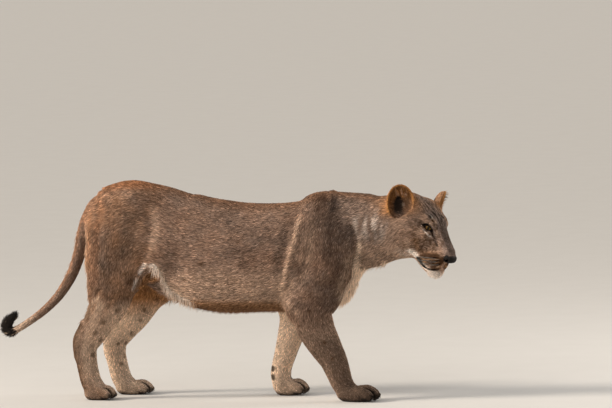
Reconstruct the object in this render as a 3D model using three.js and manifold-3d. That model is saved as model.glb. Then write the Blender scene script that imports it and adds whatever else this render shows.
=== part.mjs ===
// Lioness, walking, life size. Millimetres; +X forward, +Y the animal's left, +Z up, soles on z = 0.
//
// The whole animal is one smooth implicit surface: limbs (ellipses swept along a smooth path) and
// balls (ellipsoids) melted into each other. Each node samples that surface on its own grid, inside
// its own share of the body, and is then trimmed flat where it meets its neighbours.
import * as THREE from 'three';
import { mergeVertices } from 'three/addons/utils/BufferGeometryUtils.js';
import Module from 'manifold-3d';

const wasm = await Module();
wasm.setup();

// ---------------------------------------------------------------- driving dimensions
const GAP = 0.4; // between neighbouring pieces
const LEG_TOP_FORE = 368; // height where the forelegs leave the chest
const LEG_TOP_HIND = 436;
const LEG_MID_FORE = 215;
const LEG_MID_HIND = 268;
const PAW_TOP = 84;
const RUMP_X = -232; // rump | barrel
const SHOULDER_X = 214; // barrel | shoulders
const NECK_X = 486; // shoulders | neck
const TAIL_X = -656; // rump | tail
const TAIL_CUTS = [565, -862, -968]; // first cut by height, the others by x
const EYE_RADIUS = 19;
const PAW_HEIGHT = { fore: 62, hind: 56 };

// trunk: x, top z, bottom z, half width, egg (wider below when above 0), roundness
const TRUNK = [
  [-640, 800, 660, 52, 0, 2], [-600, 868, 612, 80, 0, 2], [-540, 922, 570, 98, 0.05, 2.1],
  [-460, 946, 580, 104, 0.12, 2.2], [-358, 938, 536, 104, 0.14, 2.2], [-254, 912, 446, 106, 0.16, 2.2],
  [-150, 883, 398, 118, 0.18, 2.2], [-40, 864, 374, 128, 0.18, 2.2], [90, 851, 377, 131, 0.17, 2.2],
  [230, 851, 380, 126, 0.14, 2.2], [330, 862, 384, 114, 0.1, 2.1], [395, 874, 392, 100, 0.05, 2.1],
  [440, 866, 400, 84, 0, 2],
];
// every other limb: x, y, z, half size in the plane of the bend, half size across, egg, roundness
const NECK = [
  [400, 0, 712, 150, 84, 0.05, 2], [500, -3, 722, 150, 86, 0.05, 2], [590, -10, 724, 157, 90, 0, 2],
  [680, -22, 740, 144, 92, 0, 2], [750, -36, 754, 134, 94, 0, 2], [800, -46, 764, 122, 94, 0, 2],
];
const WITHERS = [[360, 0, 842, 36, 26], [430, 0, 862, 36, 30], [510, 0, 858, 36, 32], [600, -8, 850, 30, 34]];
const BRISKET = [[360, 0, 452, 72, 66], [440, 0, 470, 70, 66], [482, 0, 525, 68, 64], [504, 0, 605, 66, 66]];
const TAIL = [
  [-580, 0, 858, 38, 34], [-618, 0, 830, 35, 30], [-652, 0, 780, 31, 28], [-675, 0, 715, 28, 26],
  [-694, 0, 630, 26.5, 25], [-732, 0, 535, 24, 23], [-790, 0, 448, 21, 20], [-860, 0, 380, 18, 17],
  [-930, 0, 330, 16, 16], [-980, 0, 300, 16, 16], [-1008, 0, 290, 19, 19], [-1028, 0, 303, 22, 20],
  [-1022, 0, 330, 20, 19], [-1006, 0, 348, 14, 13],
];
// each leg, top to bottom; paw is x, y of the heel, length, width, turn in degrees
const LEGS = {
  foreleg_right: {
    kind: 'fore', side: -1, paw: [484, -98, 174, 104, -3],
    rows: [[440, -92, 560, 86, 44], [400, -100, 475, 100, 50], [363, -102, 400, 93, 48],
      [376, -100, 320, 84, 46], [416, -98, 240, 72, 43], [450, -98, 180, 61, 40],
      [471, -98, 125, 54, 38], [485, -98, 85, 49, 39], [503, -98, 52, 45, 42]],
  },
  foreleg_left: {
    kind: 'fore', side: 1, paw: [160, 96, 138, 102, 2],
    rows: [[410, 92, 560, 88, 44], [330, 100, 475, 98, 50], [262, 102, 400, 82, 48],
      [240, 99, 320, 66, 46], [219, 97, 250, 56, 42], [199, 96, 185, 49, 39],
      [182, 96, 130, 45, 38], [176, 96, 90, 45, 39], [180, 96, 55, 43, 42]],
  },
  hindleg_right: {
    kind: 'hind', side: -1, paw: [-650, -92, 132, 90, -4], heel: [-682, -94, 248],
    rows: [[-506, -80, 700, 116, 50], [-522, -90, 600, 114, 53], [-529, -97, 510, 108, 54],
      [-541, -98, 440, 98, 50], [-577, -98, 360, 75, 43], [-617, -96, 290, 59, 36],
      [-647, -94, 240, 51, 33], [-651, -93, 190, 48, 31], [-643, -93, 130, 46, 30],
      [-631, -92, 80, 46, 33], [-614, -92, 50, 45, 37]],
  },
  hindleg_left: {
    kind: 'hind', side: 1, paw: [-548, 92, 152, 90, 4], heel: [-594, 93, 243],
    rows: [[-496, 80, 700, 116, 50], [-476, 90, 600, 114, 53], [-442, 97, 510, 106, 54],
      [-434, 98, 440, 88, 48], [-470, 97, 360, 71, 41], [-525, 95, 285, 55, 34],
      [-560, 93, 235, 49, 32], [-566, 92, 185, 47, 31], [-556, 92, 130, 45, 30],
      [-543, 92, 80, 45, 33], [-528, 92, 50, 44, 37]],
  },
};
// the head has a frame of its own: f forward, l left, u up, from a point between the eyes
const HEAD = { yaw: -30, pitch: 25, roll: -5, at: [884, -50, 746], scale: 1.2 };
const SKULL = [[-150, 0, 0, 62, 60], [-110, 0, 2, 71, 76], [-64, 0, 0, 70, 80], [-20, 0, -5, 63, 68],
  [12, 0, -17, 54, 52]];
const MUZZLE = [[0, 0, -22, 50, 44, 0.2, 2.2], [35, 0, -32, 48, 41, 0.26, 2.2],
  [70, 0, -46, 42, 39, 0.26, 2.2], [94, 0, -55, 36, 35, 0.2, 2.3], [109, 0, -58, 31, 29, 0.1, 2.3]];
const BRIDGE = [[5, 0, 24, 18, 27], [40, 0, 5, 20, 26, 0, 2.4], [82, 0, -23, 16, 23.5, 0, 2.4],
  [117, 0, -42, 13, 21, 0, 2.3], [130, 0, -49, 11, 19]];
const NOSE = [[102, 0, -59, 20, 22, 0, 2.6], [123, 0, -59, 18, 22.5, -0.1, 2.6],
  [137, 0, -56, 13, 19, -0.1, 2.4]];
const JAW = [[-45, 0, -72, 44, 56], [0, 0, -84, 42, 48], [40, 0, -108, 37, 38], [72, 0, -121, 31, 30],
  [92, 0, -121, 24, 25]];
const EYE_AT = [10.6, 36, 8.7]; // centre of the left eyeball
const EARS = {
  ear_right: { at: [-102, -91, 47], cup: [0.6, -0.79, 0.1], up: [-0.34, -0.22, 0.9], size: 1.13 },
  ear_left: { at: [-73, 94.5, 49.5], cup: [0.74, 0.66, 0.1], up: [-0.16, 0.2, 0.96], size: 0.93 },
};
const EAR_OUT = [26, 45, 60];
const EAR_IN = [28, 39.5, 54];
const EAR_SHIFT = [15, 0, 5];

// ---------------------------------------------------------------- small vector helpers
const rad = (d) => (d * Math.PI) / 180;
const dot = (a, b) => a[0] * b[0] + a[1] * b[1] + a[2] * b[2];
const cross = (a, b) => [a[1] * b[2] - a[2] * b[1], a[2] * b[0] - a[0] * b[2], a[0] * b[1] - a[1] * b[0]];
const sub = (a, b) => [a[0] - b[0], a[1] - b[1], a[2] - b[2]];
const mad = (a, b, s) => [a[0] + b[0] * s, a[1] + b[1] * s, a[2] + b[2] * s];
const unit = (a) => mad([0, 0, 0], a, 1 / Math.hypot(...a));

/** the three axes (as world vectors) of a frame turned by yaw, then pitch (nose down), then roll */
function axes(yaw, pitch = 0, roll = 0) {
  const [cy, sy, cp, sp, c, s] = [yaw, pitch, roll].flatMap((a) => [Math.cos(rad(a)), Math.sin(rad(a))]);
  const fwd = [cy * cp, sy * cp, -sp];
  const left = [cy * sp * s - sy * c, sy * sp * s + cy * c, cp * s];
  return [fwd, left, cross(fwd, left)];
}
/** axes from the way x should look and the exact z */
function axesFrom(x, z) {
  const up = unit(z);
  const fwd = unit(mad(x, up, -dot(x, up)));
  return [fwd, cross(up, fwd), up];
}
const toFrame = (p, at, ax, s = 1) => {
  const q = sub(p, at);
  return [dot(q, ax[0]) / s, dot(q, ax[1]) / s, dot(q, ax[2]) / s];
};
const fromFrame = (q, at, ax, s = 1) => {
  const p = mad(mad([...at], ax[0], q[0] * s), ax[1], q[1] * s);
  return mad(p, ax[2], q[2] * s);
};

// ---------------------------------------------------------------- implicit shapes
function smin(a, b, k) {
  if (k <= 0) return Math.min(a, b);
  const h = Math.max(k - Math.abs(a - b), 0) / k;
  return Math.min(a, b) - h * h * k * 0.25;
}
const smax = (a, b, k) => -smin(-a, -b, k);

/** Catmull-Rom samples through rows of numbers */
function smooth(rows, per) {
  const n = rows.length - 1;
  const ends = [rows[0].map((v, i) => 2 * v - rows[1][i]), rows[n].map((v, i) => 2 * v - rows[n - 1][i])];
  const all = [ends[0], ...rows, ends[1]];
  const out = [];
  for (let i = 1; i <= n; i++) {
    for (let j = 0; j < per; j++) {
      const t = j / per;
      const [tt, ttt] = [t * t, t ** 3];
      const w = [-t + 2 * tt - ttt, 2 - 5 * tt + 3 * ttt, t + 4 * tt - 3 * ttt, ttt - tt];
      out.push(rows[0].map((_, c) => 0.5 * w.reduce((sum, k, m) => sum + k * all[i - 1 + m][c], 0)));
    }
  }
  out.push([...rows[n]]);
  return out;
}

/** a limb: an ellipse swept along a smooth path, with rounded ends */
function limb(rows, { side = [0, 1, 0], cap = 1, per = 4 } = {}) {
  const S = smooth(rows.map((r) => [r[0], r[1], r[2], r[3], r[4], r[5] ?? 0, r[6] ?? 2]), per);
  const last = S.length - 1;
  const T = S.map((_, i) => unit(sub(S[Math.min(i + 1, last)], S[Math.max(i - 1, 0)])));
  const B = T.map((t) => unit(mad(side, t, -dot(side, t))));
  const N = T.map((t, i) => cross(t, B[i]));
  const reach = Math.max(...S.map((r) => Math.max(r[3], r[4]))) * Math.max(1, cap);
  const lo = [0, 1, 2].map((c) => Math.min(...S.map((r) => r[c])) - reach);
  const hi = [0, 1, 2].map((c) => Math.max(...S.map((r) => r[c])) + reach);
  const mix = (v, i, t, c) => v[i][c] + (v[i + 1][c] - v[i][c]) * t;
  const at = (p) => {
    let best = Infinity;
    let bi = 0;
    let bt = 0;
    for (let i = 0; i < last; i++) {
      const d = sub(S[i + 1], S[i]);
      const q = sub(p, S[i]);
      const t = Math.min(1, Math.max(0, dot(q, d) / dot(d, d)));
      const r = mad(q, d, -t);
      const s = dot(r, r);
      if (s < best) {
        best = s;
        bi = i;
        bt = t;
      }
    }
    const q = [0, 1, 2].map((c) => p[c] - mix(S, bi, bt, c));
    const along = (v) => q[0] * mix(v, bi, bt, 0) + q[1] * mix(v, bi, bt, 1) + q[2] * mix(v, bi, bt, 2);
    const a = mix(S, bi, bt, 3);
    const b = mix(S, bi, bt, 4);
    const n = along(N);
    const wide = b * (1 - mix(S, bi, bt, 5) * Math.min(1, Math.max(-1, n / a)));
    const m = mix(S, bi, bt, 6);
    const end = (bi === 0 && bt === 0) || (bi === last - 1 && bt === 1);
    const w = end ? along(T) / (cap * Math.sqrt(a * b)) : 0;
    const flat = (Math.abs(n) / a) ** m + (Math.abs(along(B)) / wide) ** m;
    const k = Math.sqrt(flat ** (2 / m) + w * w);
    return k < 1e-4 ? -Math.min(a, b) : Math.hypot(...q) * (1 - 1 / k);
  };
  return { at, lo, hi };
}

/** an ellipsoid with its own axes */
function ball(c, r, ax = axes(0)) {
  const reach = Math.max(...r);
  const at = (p) => {
    const q = toFrame(p, c, ax);
    const k = Math.hypot(q[0] / r[0], q[1] / r[1], q[2] / r[2]);
    return k < 1e-4 ? -Math.min(...r) : Math.hypot(...q) * (1 - 1 / k);
  };
  return { at, lo: c.map((v) => v - reach), hi: c.map((v) => v + reach) };
}

// ---------------------------------------------------------------- the body
const body = [];
const add = (shape, k) => body.push({ ...shape, k });
add(limb(TRUNK.map(([x, t, b, w, e, m]) => [x, 0, (t + b) / 2, (t - b) / 2, w, e, m]), { cap: 0.1 }), 0);
add(limb(NECK, { cap: 0.5 }), 60);
add(limb(WITHERS), 40);
for (const s of [-1, 1]) {
  const back = s < 0 ? 0 : -45; // the left shoulder is drawn back with its leg
  add(limb([[385 + back * 0.3, s * 50, 838, 52, 28], [405 + back * 0.5, s * 80, 740, 84, 36],
    [425 + back * 0.7, s * 92, 640, 96, 42], [420 + back * 0.9, s * 96, 560, 90, 44]], { cap: 0.8 }), 66);
  add(ball([-445, s * 56, 872], [74, 30, 38]), 90);
  add(limb([[-566, s * 42, 800, 48, 38], [-586, s * 60, 720, 48, 42], [-586, s * 72, 610, 50, 42]]), 50);
}
add(limb(BRISKET), 60);
for (const { rows, paw, kind, heel } of Object.values(LEGS)) {
  add(limb(rows, { cap: 0.9 }), 60);
  const [x, y, length, width, turn] = paw;
  const H = PAW_HEIGHT[kind];
  const ax = axes(turn);
  const at = (f, l, u) => fromFrame([f * length, l * width, u * H], [x, y, 0], ax);
  add(ball(at(0.36, 0, 0.42), [0.42 * length, 0.44 * width, 0.62 * H], ax), 26);
  for (const [l, tip, h] of [[-0.37, 0.77, 0.9], [-0.125, 0.88, 1], [0.125, 0.88, 1], [0.37, 0.77, 0.9]]) {
    const r = 0.135 * width;
    add(limb([[...at(tip - 0.46, l * 0.75, 0.72), 0.3 * H, r * 0.95],
      [...at(tip - 0.26, l * 0.95, 0.8 * h), 0.36 * H, r],
      [...at(tip - 0.1, l, 0.6 * h), 0.38 * H, r * 1.04],
      [...at(tip, l, 0.36), 0.32 * H, r * 0.92]], { side: ax[1], cap: 0.8 }), 9);
  }
  if (heel) {
    const [hx, hy, hz] = heel;
    add(limb([[hx + 62, hy, hz + 120, 24, 15], [hx + 22, hy, hz + 60, 22, 15], [hx + 2, hy, hz + 12, 24, 17],
      [hx + 8, hy, hz - 50, 22, 16]]), 32);
  }
}
add(ball([300, -97, 414], [50, 34, 56]), 45);
add(ball([222, 97, 407], [46, 34, 56]), 45);
add(limb([[-282, -78, 640, 66, 26], [-350, -90, 636, 62, 28], [-432, -97, 540, 54, 32]]), 70);
add(limb([[-220, 72, 560, 66, 28], [-292, 86, 505, 60, 30], [-352, 95, 468, 56, 34]]), 70);
add(limb(TAIL), 30);

// ---------------------------------------------------------------- the head
const headAxes = axes(HEAD.yaw, HEAD.pitch, HEAD.roll);
const toHead = (p) => toFrame(p, HEAD.at, headAxes, HEAD.scale);
const fromHead = (q) => fromFrame(q, HEAD.at, headAxes, HEAD.scale);
const headParts = [
  [limb(SKULL, { cap: 0.7 }), 0], [limb(MUZZLE, { cap: 0.4 }), 22], [limb(BRIDGE, { cap: 0.7 }), 16],
  [limb(NOSE, { cap: 0.45 }), 11], [limb(JAW, { cap: 0.6 }), 22],
  // from here to the chin the parts are given for the left side and mirrored
  [ball([-44, 50, -42], [60, 38, 52]), 40, 'pair'], [ball([-60, 42, -88], [44, 36, 34]), 34, 'pair'],
  [ball([76, 25, -96], [33, 20, 27], axes(-14)), 20, 'pair'],
  [limb([[74, 30, -99, 24, 18], [50, 37, -99, 23, 17], [26, 43, -95, 17, 15]]), 22, 'pair'],
  [limb([[-34, 52, 33, 13, 16], [-2, 43, 36, 12, 15], [22, 33, 29, 11, 13]]), 20, 'pair'],
  [limb([[22, 50, -18, 10, 10], [-14, 66, -20, 13, 12], [-52, 76, -12, 16, 12]]), 30, 'pair'],
  [ball([-78, 54, 32], [46, 26, 34]), 34, 'pair'],
  [ball([89, 0, -126], [28, 25, 22]), 12],
  [ball([20.9, 52.5, 9.7], [23, 7, 13.5], axes(-32)), 7, 'pair carve'],
];
function headAt(q) {
  const m = [q[0], Math.abs(q[1]), q[2]];
  let d = 0;
  for (const [i, [shape, k, how = '']] of headParts.entries()) {
    const v = shape.at(how.startsWith('pair') ? m : q);
    if (i === 0) d = v;
    else d = how.endsWith('carve') ? smax(d, -v, k) : smin(d, v, k);
  }
  return d;
}
/** signed distance, near enough, to the whole animal without its ears */
function field(p) {
  let d = 1000;
  for (const s of body) {
    const m = s.k + 45;
    const near = [0, 1, 2].every((c) => p[c] > s.lo[c] - m && p[c] < s.hi[c] + m);
    if (near) d = smin(d, s.at(p), s.k);
  }
  const q = toHead(p);
  if (q[0] > -235 && q[0] < 170 && Math.abs(q[1]) < 175 && q[2] > -190 && q[2] < 175) {
    d = smin(d, headAt(q) * HEAD.scale, 50);
  }
  return Math.max(d, -p[2]);
}

// ---------------------------------------------------------------- sampling a share of the surface
/** a box as a share of the body: low and high corners in a frame */
const share = (lo, hi, at = [0, 0, 0], ax = axes(0)) => ({ lo, hi, at, ax });
function shareAt(p, s) {
  const q = toFrame(p, s.at, s.ax);
  return Math.max(...[0, 1, 2].map((c) => Math.max(s.lo[c] - q[c], q[c] - s.hi[c])));
}
/** the closed surface of the body inside the grid box lo..hi, and a little beyond the share */
function surface(keep, lo, hi, step) {
  const n = [0, 1, 2].map((c) => Math.ceil((hi[c] - lo[c]) / step[c]) + 1);
  const pad = Math.max(...step) * 1.3;
  const id = (i, j, k) => (i * n[1] + j) * n[2] + k;
  const at = (i, j, k) => [lo[0] + i * step[0], lo[1] + j * step[1], lo[2] + k * step[2]];
  const F = new Float64Array(n[0] * n[1] * n[2]);
  for (let i = 0; i < n[0]; i++) {
    for (let j = 0; j < n[1]; j++) {
      for (let k = 0; k < n[2]; k++) {
        const p = at(i, j, k);
        const wall = i === 0 || j === 0 || k === 0 || i === n[0] - 1 || j === n[1] - 1 || k === n[2] - 1;
        const limit = keep ? shareAt(p, keep) - pad : -1000;
        F[id(i, j, k)] = wall ? Math.max(1, limit) : Math.max(field(p), limit);
      }
    }
  }
  // one point for each sheet of the surface in a cell, found by walking over the cell's six sides
  const sheet = new Map();
  const points = [];
  const corners = [];
  for (let c = 0; c < 8; c++) corners.push([c & 1, (c >> 1) & 1, c >> 2]);
  const edge = (a, b) => Math.min(a, b) * 3 + Math.log2(a ^ b);
  const sides = [[0, 1, 3, 2], [4, 5, 7, 6], [0, 1, 5, 4], [2, 3, 7, 6], [0, 2, 6, 4], [1, 3, 7, 5]];
  for (let i = 0; i < n[0] - 1; i++) {
    for (let j = 0; j < n[1] - 1; j++) {
      for (let k = 0; k < n[2] - 1; k++) {
        const v = corners.map(([a, b, c]) => F[id(i + a, j + b, k + c)]);
        const inside = v.filter((x) => x < 0).length;
        if (inside === 0 || inside === 8) continue;
        const root = new Map();
        const find = (e) => (root.get(e) === e ? e : find(root.get(e)));
        for (let a = 0; a < 8; a++) {
          for (const b of [a | 1, a | 2, a | 4]) {
            if (b !== a && v[a] < 0 !== v[b] < 0) root.set(edge(a, b), edge(a, b));
          }
        }
        for (const side of sides) {
          const cut = [0, 1, 2, 3].filter((m) => v[side[m]] < 0 !== v[side[(m + 1) % 4]] < 0);
          const join = (m1, m2) => {
            const [e1, e2] = [m1, m2].map((m) => edge(side[m], side[(m + 1) % 4]));
            root.set(find(e1), find(e2));
          };
          if (cut.length === 2) join(cut[0], cut[1]);
          if (cut.length === 4) {
            for (let m = 0; m < 4; m++) if (v[side[m]] < 0) join((m + 3) % 4, m);
          }
        }
        const sums = new Map();
        for (let a = 0; a < 8; a++) {
          for (const b of [a | 1, a | 2, a | 4]) {
            if (b === a || v[a] < 0 === v[b] < 0) continue;
            const r = find(edge(a, b));
            const t = v[a] / (v[a] - v[b]);
            const [x, y, z, m] = sums.get(r) ?? [0, 0, 0, 0];
            const p = mad(mad([x, y, z], corners[a], 1 - t), corners[b], t);
            sums.set(r, [...p, m + 1]);
          }
        }
        const made = new Map();
        for (const [r, [x, y, z, m]] of sums) {
          made.set(r, points.length);
          points.push(at(i + x / m, j + y / m, k + z / m));
        }
        for (const e of root.keys()) {
          sheet.set(id(i, j, k) * 24 + e, made.get(find(e)));
        }
      }
    }
  }
  const faces = [];
  const quad = (a, b, c, d) => {
    const long = (p, q) => Math.hypot(...sub(points[p], points[q]));
    if (long(a, c) < long(b, d)) faces.push(a, b, c, a, c, d);
    else faces.push(a, b, d, b, c, d);
  };
  for (let i = 0; i < n[0] - 1; i++) {
    for (let j = 0; j < n[1] - 1; j++) {
      for (let k = 0; k < n[2] - 1; k++) {
        for (let c = 0; c < 3; c++) {
          const here = F[id(i, j, k)] < 0;
          const next = F[id(i + (c === 0), j + (c === 1), k + (c === 2))] < 0;
          if (here === next) continue;
          const u = [0, 0, 0];
          const w = [0, 0, 0];
          u[(c + 1) % 3] = 1;
          w[(c + 2) % 3] = 1;
          const at4 = (a, b) => {
            const o = mad(mad([0, 0, 0], u, a), w, b);
            const corner = o[0] + 2 * o[1] + 4 * o[2];
            return sheet.get(id(i - o[0], j - o[1], k - o[2]) * 24 + corner * 3 + c);
          };
          const ring = [at4(1, 1), at4(0, 1), at4(0, 0), at4(1, 0)];
          if (!here) ring.reverse();
          quad(...ring);
        }
      }
    }
  }
  // the corners are drawn onto the true surface, except where the share ends
  const most = Math.min(...step) * 0.45;
  for (const [i, p] of points.entries()) {
    if (keep && shareAt(p, keep) > 1) continue;
    let q = p;
    for (let pass = 0; pass < 3; pass++) {
      const d = field(q);
      const e = 0.5;
      const g = [0, 1, 2].map((c) => {
        const up = [...q];
        up[c] += e;
        return (field(up) - d) / e;
      });
      const gg = Math.max(dot(g, g), 0.25);
      q = mad(q, g, -d / gg);
    }
    const move = sub(q, p);
    const far = Math.hypot(...move);
    points[i] = mad(p, move, far > most ? most / far : 1);
    points[i][2] = Math.max(points[i][2], p[2] < 1 ? -1 : 0);
  }
  return { points, faces };
}

// ---------------------------------------------------------------- thinning a mesh
/** the sum of squared distances to a set of planes, as ten numbers */
function planeSum(n, d, w) {
  const v = [...n, d];
  const out = [];
  for (let i = 0; i < 4; i++) {
    for (let j = i; j < 4; j++) out.push(v[i] * v[j] * w);
  }
  return out;
}
const error = (Q, [x, y, z]) => Q[0] * x * x + 2 * Q[1] * x * y + 2 * Q[2] * x * z + 2 * Q[3] * x
  + Q[4] * y * y + 2 * Q[5] * y * z + 2 * Q[6] * y + Q[7] * z * z + 2 * Q[8] * z + Q[9];
/** merges the ends of the least useful edges until the mesh has the wanted number of faces */
function thinned({ points, faces }, wanted) {
  const P = points.map((p) => [...p]);
  const tri = [];
  const around = P.map(() => new Set());
  const Q = P.map(() => new Array(10).fill(0));
  const normal = (a, b, c) => cross(sub(b, a), sub(c, a));
  for (let i = 0; i < faces.length; i += 3) {
    const t = [faces[i], faces[i + 1], faces[i + 2]];
    const n = normal(...t.map((v) => P[v]));
    const area = Math.hypot(...n) || 1e-9;
    const m = n.map((v) => v / area);
    const q = planeSum(m, -dot(m, P[t[0]]), area);
    for (const v of t) {
      around[v].add(tri.length);
      for (let c = 0; c < 10; c++) Q[v][c] += q[c];
    }
    tri.push(t);
  }
  const others = (v) => {
    const out = new Set();
    for (const f of around[v]) for (const o of tri[f]) if (o !== v) out.add(o);
    return out;
  };
  const heap = [];
  const age = P.map(() => 0);
  const push = (item) => {
    let i = heap.push(item) - 1;
    while (i > 0) {
      const up = (i - 1) >> 1;
      if (heap[up][0] <= heap[i][0]) break;
      [heap[up], heap[i]] = [heap[i], heap[up]];
      i = up;
    }
  };
  const pop = () => {
    const top = heap[0];
    const end = heap.pop();
    if (heap.length) {
      heap[0] = end;
      let i = 0;
      for (;;) {
        const kids = [2 * i + 1, 2 * i + 2].filter((k) => k < heap.length);
        const least = kids.reduce((m, k) => (heap[k][0] < heap[m][0] ? k : m), i);
        if (least === i) break;
        [heap[least], heap[i]] = [heap[i], heap[least]];
        i = least;
      }
    }
    return top;
  };
  const consider = (a, b) => {
    const q = Q[a].map((v, c) => v + Q[b][c]);
    const length = Math.hypot(...sub(P[a], P[b]));
    let best = null;
    for (const t of [0, 0.5, 1]) {
      const p = mad(P[a], sub(P[b], P[a]), t);
      const e = error(q, p) + 0.02 * length * length;
      if (!best || e < best[0]) best = [e, p];
    }
    push([best[0], a, b, age[a], age[b], best[1]]);
  };
  for (let v = 0; v < P.length; v++) for (const o of others(v)) if (o > v) consider(v, o);
  let left = tri.length;
  while (left > wanted && heap.length) {
    const [, a, b, ageA, ageB, p] = pop();
    if (age[a] !== ageA || age[b] !== ageB) continue;
    const nearB = others(b);
    const shared = [...others(a)].filter((o) => nearB.has(o));
    if (shared.length !== 2) continue;
    const turns = [[a, b], [b, a]].some(([v, w]) => [...around[v]].some((f) => {
      if (tri[f].includes(w)) return false;
      const n0 = normal(...tri[f].map((o) => P[o]));
      const n1 = normal(...tri[f].map((o) => (o === v ? p : P[o])));
      return dot(n0, n1) < 0.35 * Math.hypot(...n0) * Math.hypot(...n1);
    }));
    if (turns) continue;
    for (const f of [...around[b]]) {
      if (tri[f].includes(a)) {
        for (const o of tri[f]) around[o].delete(f);
        tri[f] = null;
        left -= 1;
      } else {
        tri[f] = tri[f].map((o) => (o === b ? a : o));
        around[a].add(f);
      }
    }
    around[b].clear();
    P[a] = p;
    Q[a] = Q[a].map((v, c) => v + Q[b][c]);
    age[a] += 1;
    age[b] = -1;
    for (const o of others(a)) {
      age[o] += 1;
    }
    for (const o of others(a)) {
      for (const w of others(o)) consider(o, w);
    }
  }
  const kept = new Map();
  const out = { points: [], faces: [] };
  for (const t of tri.filter(Boolean)) {
    for (const v of t) {
      if (!kept.has(v)) {
        kept.set(v, out.points.length);
        out.points.push(P[v]);
      }
      out.faces.push(kept.get(v));
    }
  }
  return out;
}

// ---------------------------------------------------------------- solids
function solidOf(points, faces) {
  const mesh = new wasm.Mesh({
    numProp: 3,
    vertProperties: Float32Array.from(points.flat()),
    triVerts: Uint32Array.from(faces),
  });
  return new wasm.Manifold(mesh);
}
/** a closed three.js geometry, placed in a frame, as a solid */
function solidFrom(geometry, at, ax) {
  geometry.deleteAttribute('normal');
  geometry.deleteAttribute('uv');
  const merged = mergeVertices(geometry, 1e-5);
  const pos = merged.getAttribute('position');
  const points = [];
  for (let i = 0; i < pos.count; i++) {
    points.push(fromFrame([pos.getX(i), pos.getY(i), pos.getZ(i)], at, ax));
  }
  return solidOf(points, [...merged.getIndex().array]);
}
function boxSolid(s, grow = 0) {
  const size = [0, 1, 2].map((c) => s.hi[c] - s.lo[c] + 2 * grow);
  const mid = [0, 1, 2].map((c) => (s.hi[c] + s.lo[c]) / 2);
  return solidFrom(new THREE.BoxGeometry(...size), fromFrame(mid, s.at, s.ax), s.ax);
}
function ballSolid(at, r, ax, around = 20, down = 12) {
  const geometry = new THREE.SphereGeometry(1, around, down);
  geometry.scale(...r);
  return solidFrom(geometry, at, ax);
}
/** keeps the largest of the loose bits a cut may leave */
function largest(solid) {
  const bits = solid.decompose();
  bits.sort((a, b) => b.volume() - a.volume());
  return bits[0];
}

// ---------------------------------------------------------------- nodes
const COATS = {
  back: { color: 0xa98862, roughness: 0.9 },
  flank: { color: 0xb39470, roughness: 0.9 },
  leg: { color: 0xc0a280, roughness: 0.9 },
  pale: { color: 0xd2bb9a, roughness: 0.9 },
  ear: { color: 0x9c7350, roughness: 0.9 },
  dark: { color: 0x2c231d, roughness: 0.8 },
  nose: { color: 0x4a3a36, roughness: 0.55 },
  eye: { color: 0xa8742a, roughness: 0.1 },
};
const group = new THREE.Group();
function node(name, solid, coat) {
  const mesh = solid.getMesh();
  const geometry = new THREE.BufferGeometry();
  const flat = new Float32Array(mesh.numVert * 3);
  for (let i = 0; i < mesh.numVert; i++) {
    for (let c = 0; c < 3; c++) flat[i * 3 + c] = mesh.vertProperties[i * mesh.numProp + c];
  }
  geometry.setAttribute('position', new THREE.BufferAttribute(flat, 3));
  geometry.setIndex(new THREE.BufferAttribute(Uint32Array.from(mesh.triVerts), 1));
  geometry.computeVertexNormals();
  const item = new THREE.Mesh(geometry, new THREE.MeshStandardMaterial({ ...COATS[coat], metalness: 0 }));
  item.name = name;
  group.add(item);
}
/** the sampled solid, thinned to a part of its faces */
function sampled(keep, lo, hi, step, part) {
  const mesh = surface(keep, lo, hi, step);
  const { points, faces } = thinned(mesh, (mesh.faces.length / 3) * part);
  return solidOf(points, faces).intersect(boxSolid(keep));
}
/** samples the body inside a share and trims it to that share */
function piece(keep, step, part, drop = []) {
  const lo = [0, 1, 2].map((c) => Math.max(keep.lo[c] - step[c] * 2.5, [-1075, -200, -14][c]));
  const hi = [0, 1, 2].map((c) => Math.min(keep.hi[c] + step[c] * 2.5, [1075, 200, 990][c]));
  let solid = sampled(keep, lo, hi, step, part);
  for (const d of drop) solid = solid.subtract(boxSolid(d, GAP));
  return largest(solid);
}
const LO = [-1100, -230, 0];
const HI = [1100, 230, 1000];
const shares = {};
for (const [name, leg] of Object.entries(LEGS)) {
  const fore = leg.kind === 'fore';
  const [x0, x1] = fore ? [60, 700] : [-760, -262];
  const [y0, y1] = leg.side < 0 ? [-230, -GAP / 2] : [GAP / 2, 230];
  const top = fore ? LEG_TOP_FORE : LEG_TOP_HIND;
  const mid = fore ? LEG_MID_FORE : LEG_MID_HIND;
  shares[`${name}_upper`] = share([x0, y0, mid + GAP], [x1, y1, top]);
  shares[`${name}_lower`] = share([x0, y0, PAW_TOP + GAP], [x1, y1, mid]);
  shares[`${name}_paw`] = share([x0, y0, 0], [x1, y1, PAW_TOP]);
}
const tailShare = share([LO[0], -40, 0], [TAIL_X, 40, 840]);
const legRoom = [
  share([60, -230, -20], [700, 230, LEG_TOP_FORE]),
  share([-760, -230, -20], [-262, 230, LEG_TOP_HIND]),
];
// the plane between neck and head leans back from the nape to the throat
const headCut = [0, 1].map((i) => fromHead([[-186, 0, 60], [-81, 0, -150]][i]));
const headAx = axesFrom(fromFrame([0.894, 0, 0.447], [0, 0, 0], headAxes), headAxes[1]);
const headShare = share([0, -400, -300], [420, 400, 300], headCut[0], headAx);

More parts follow.
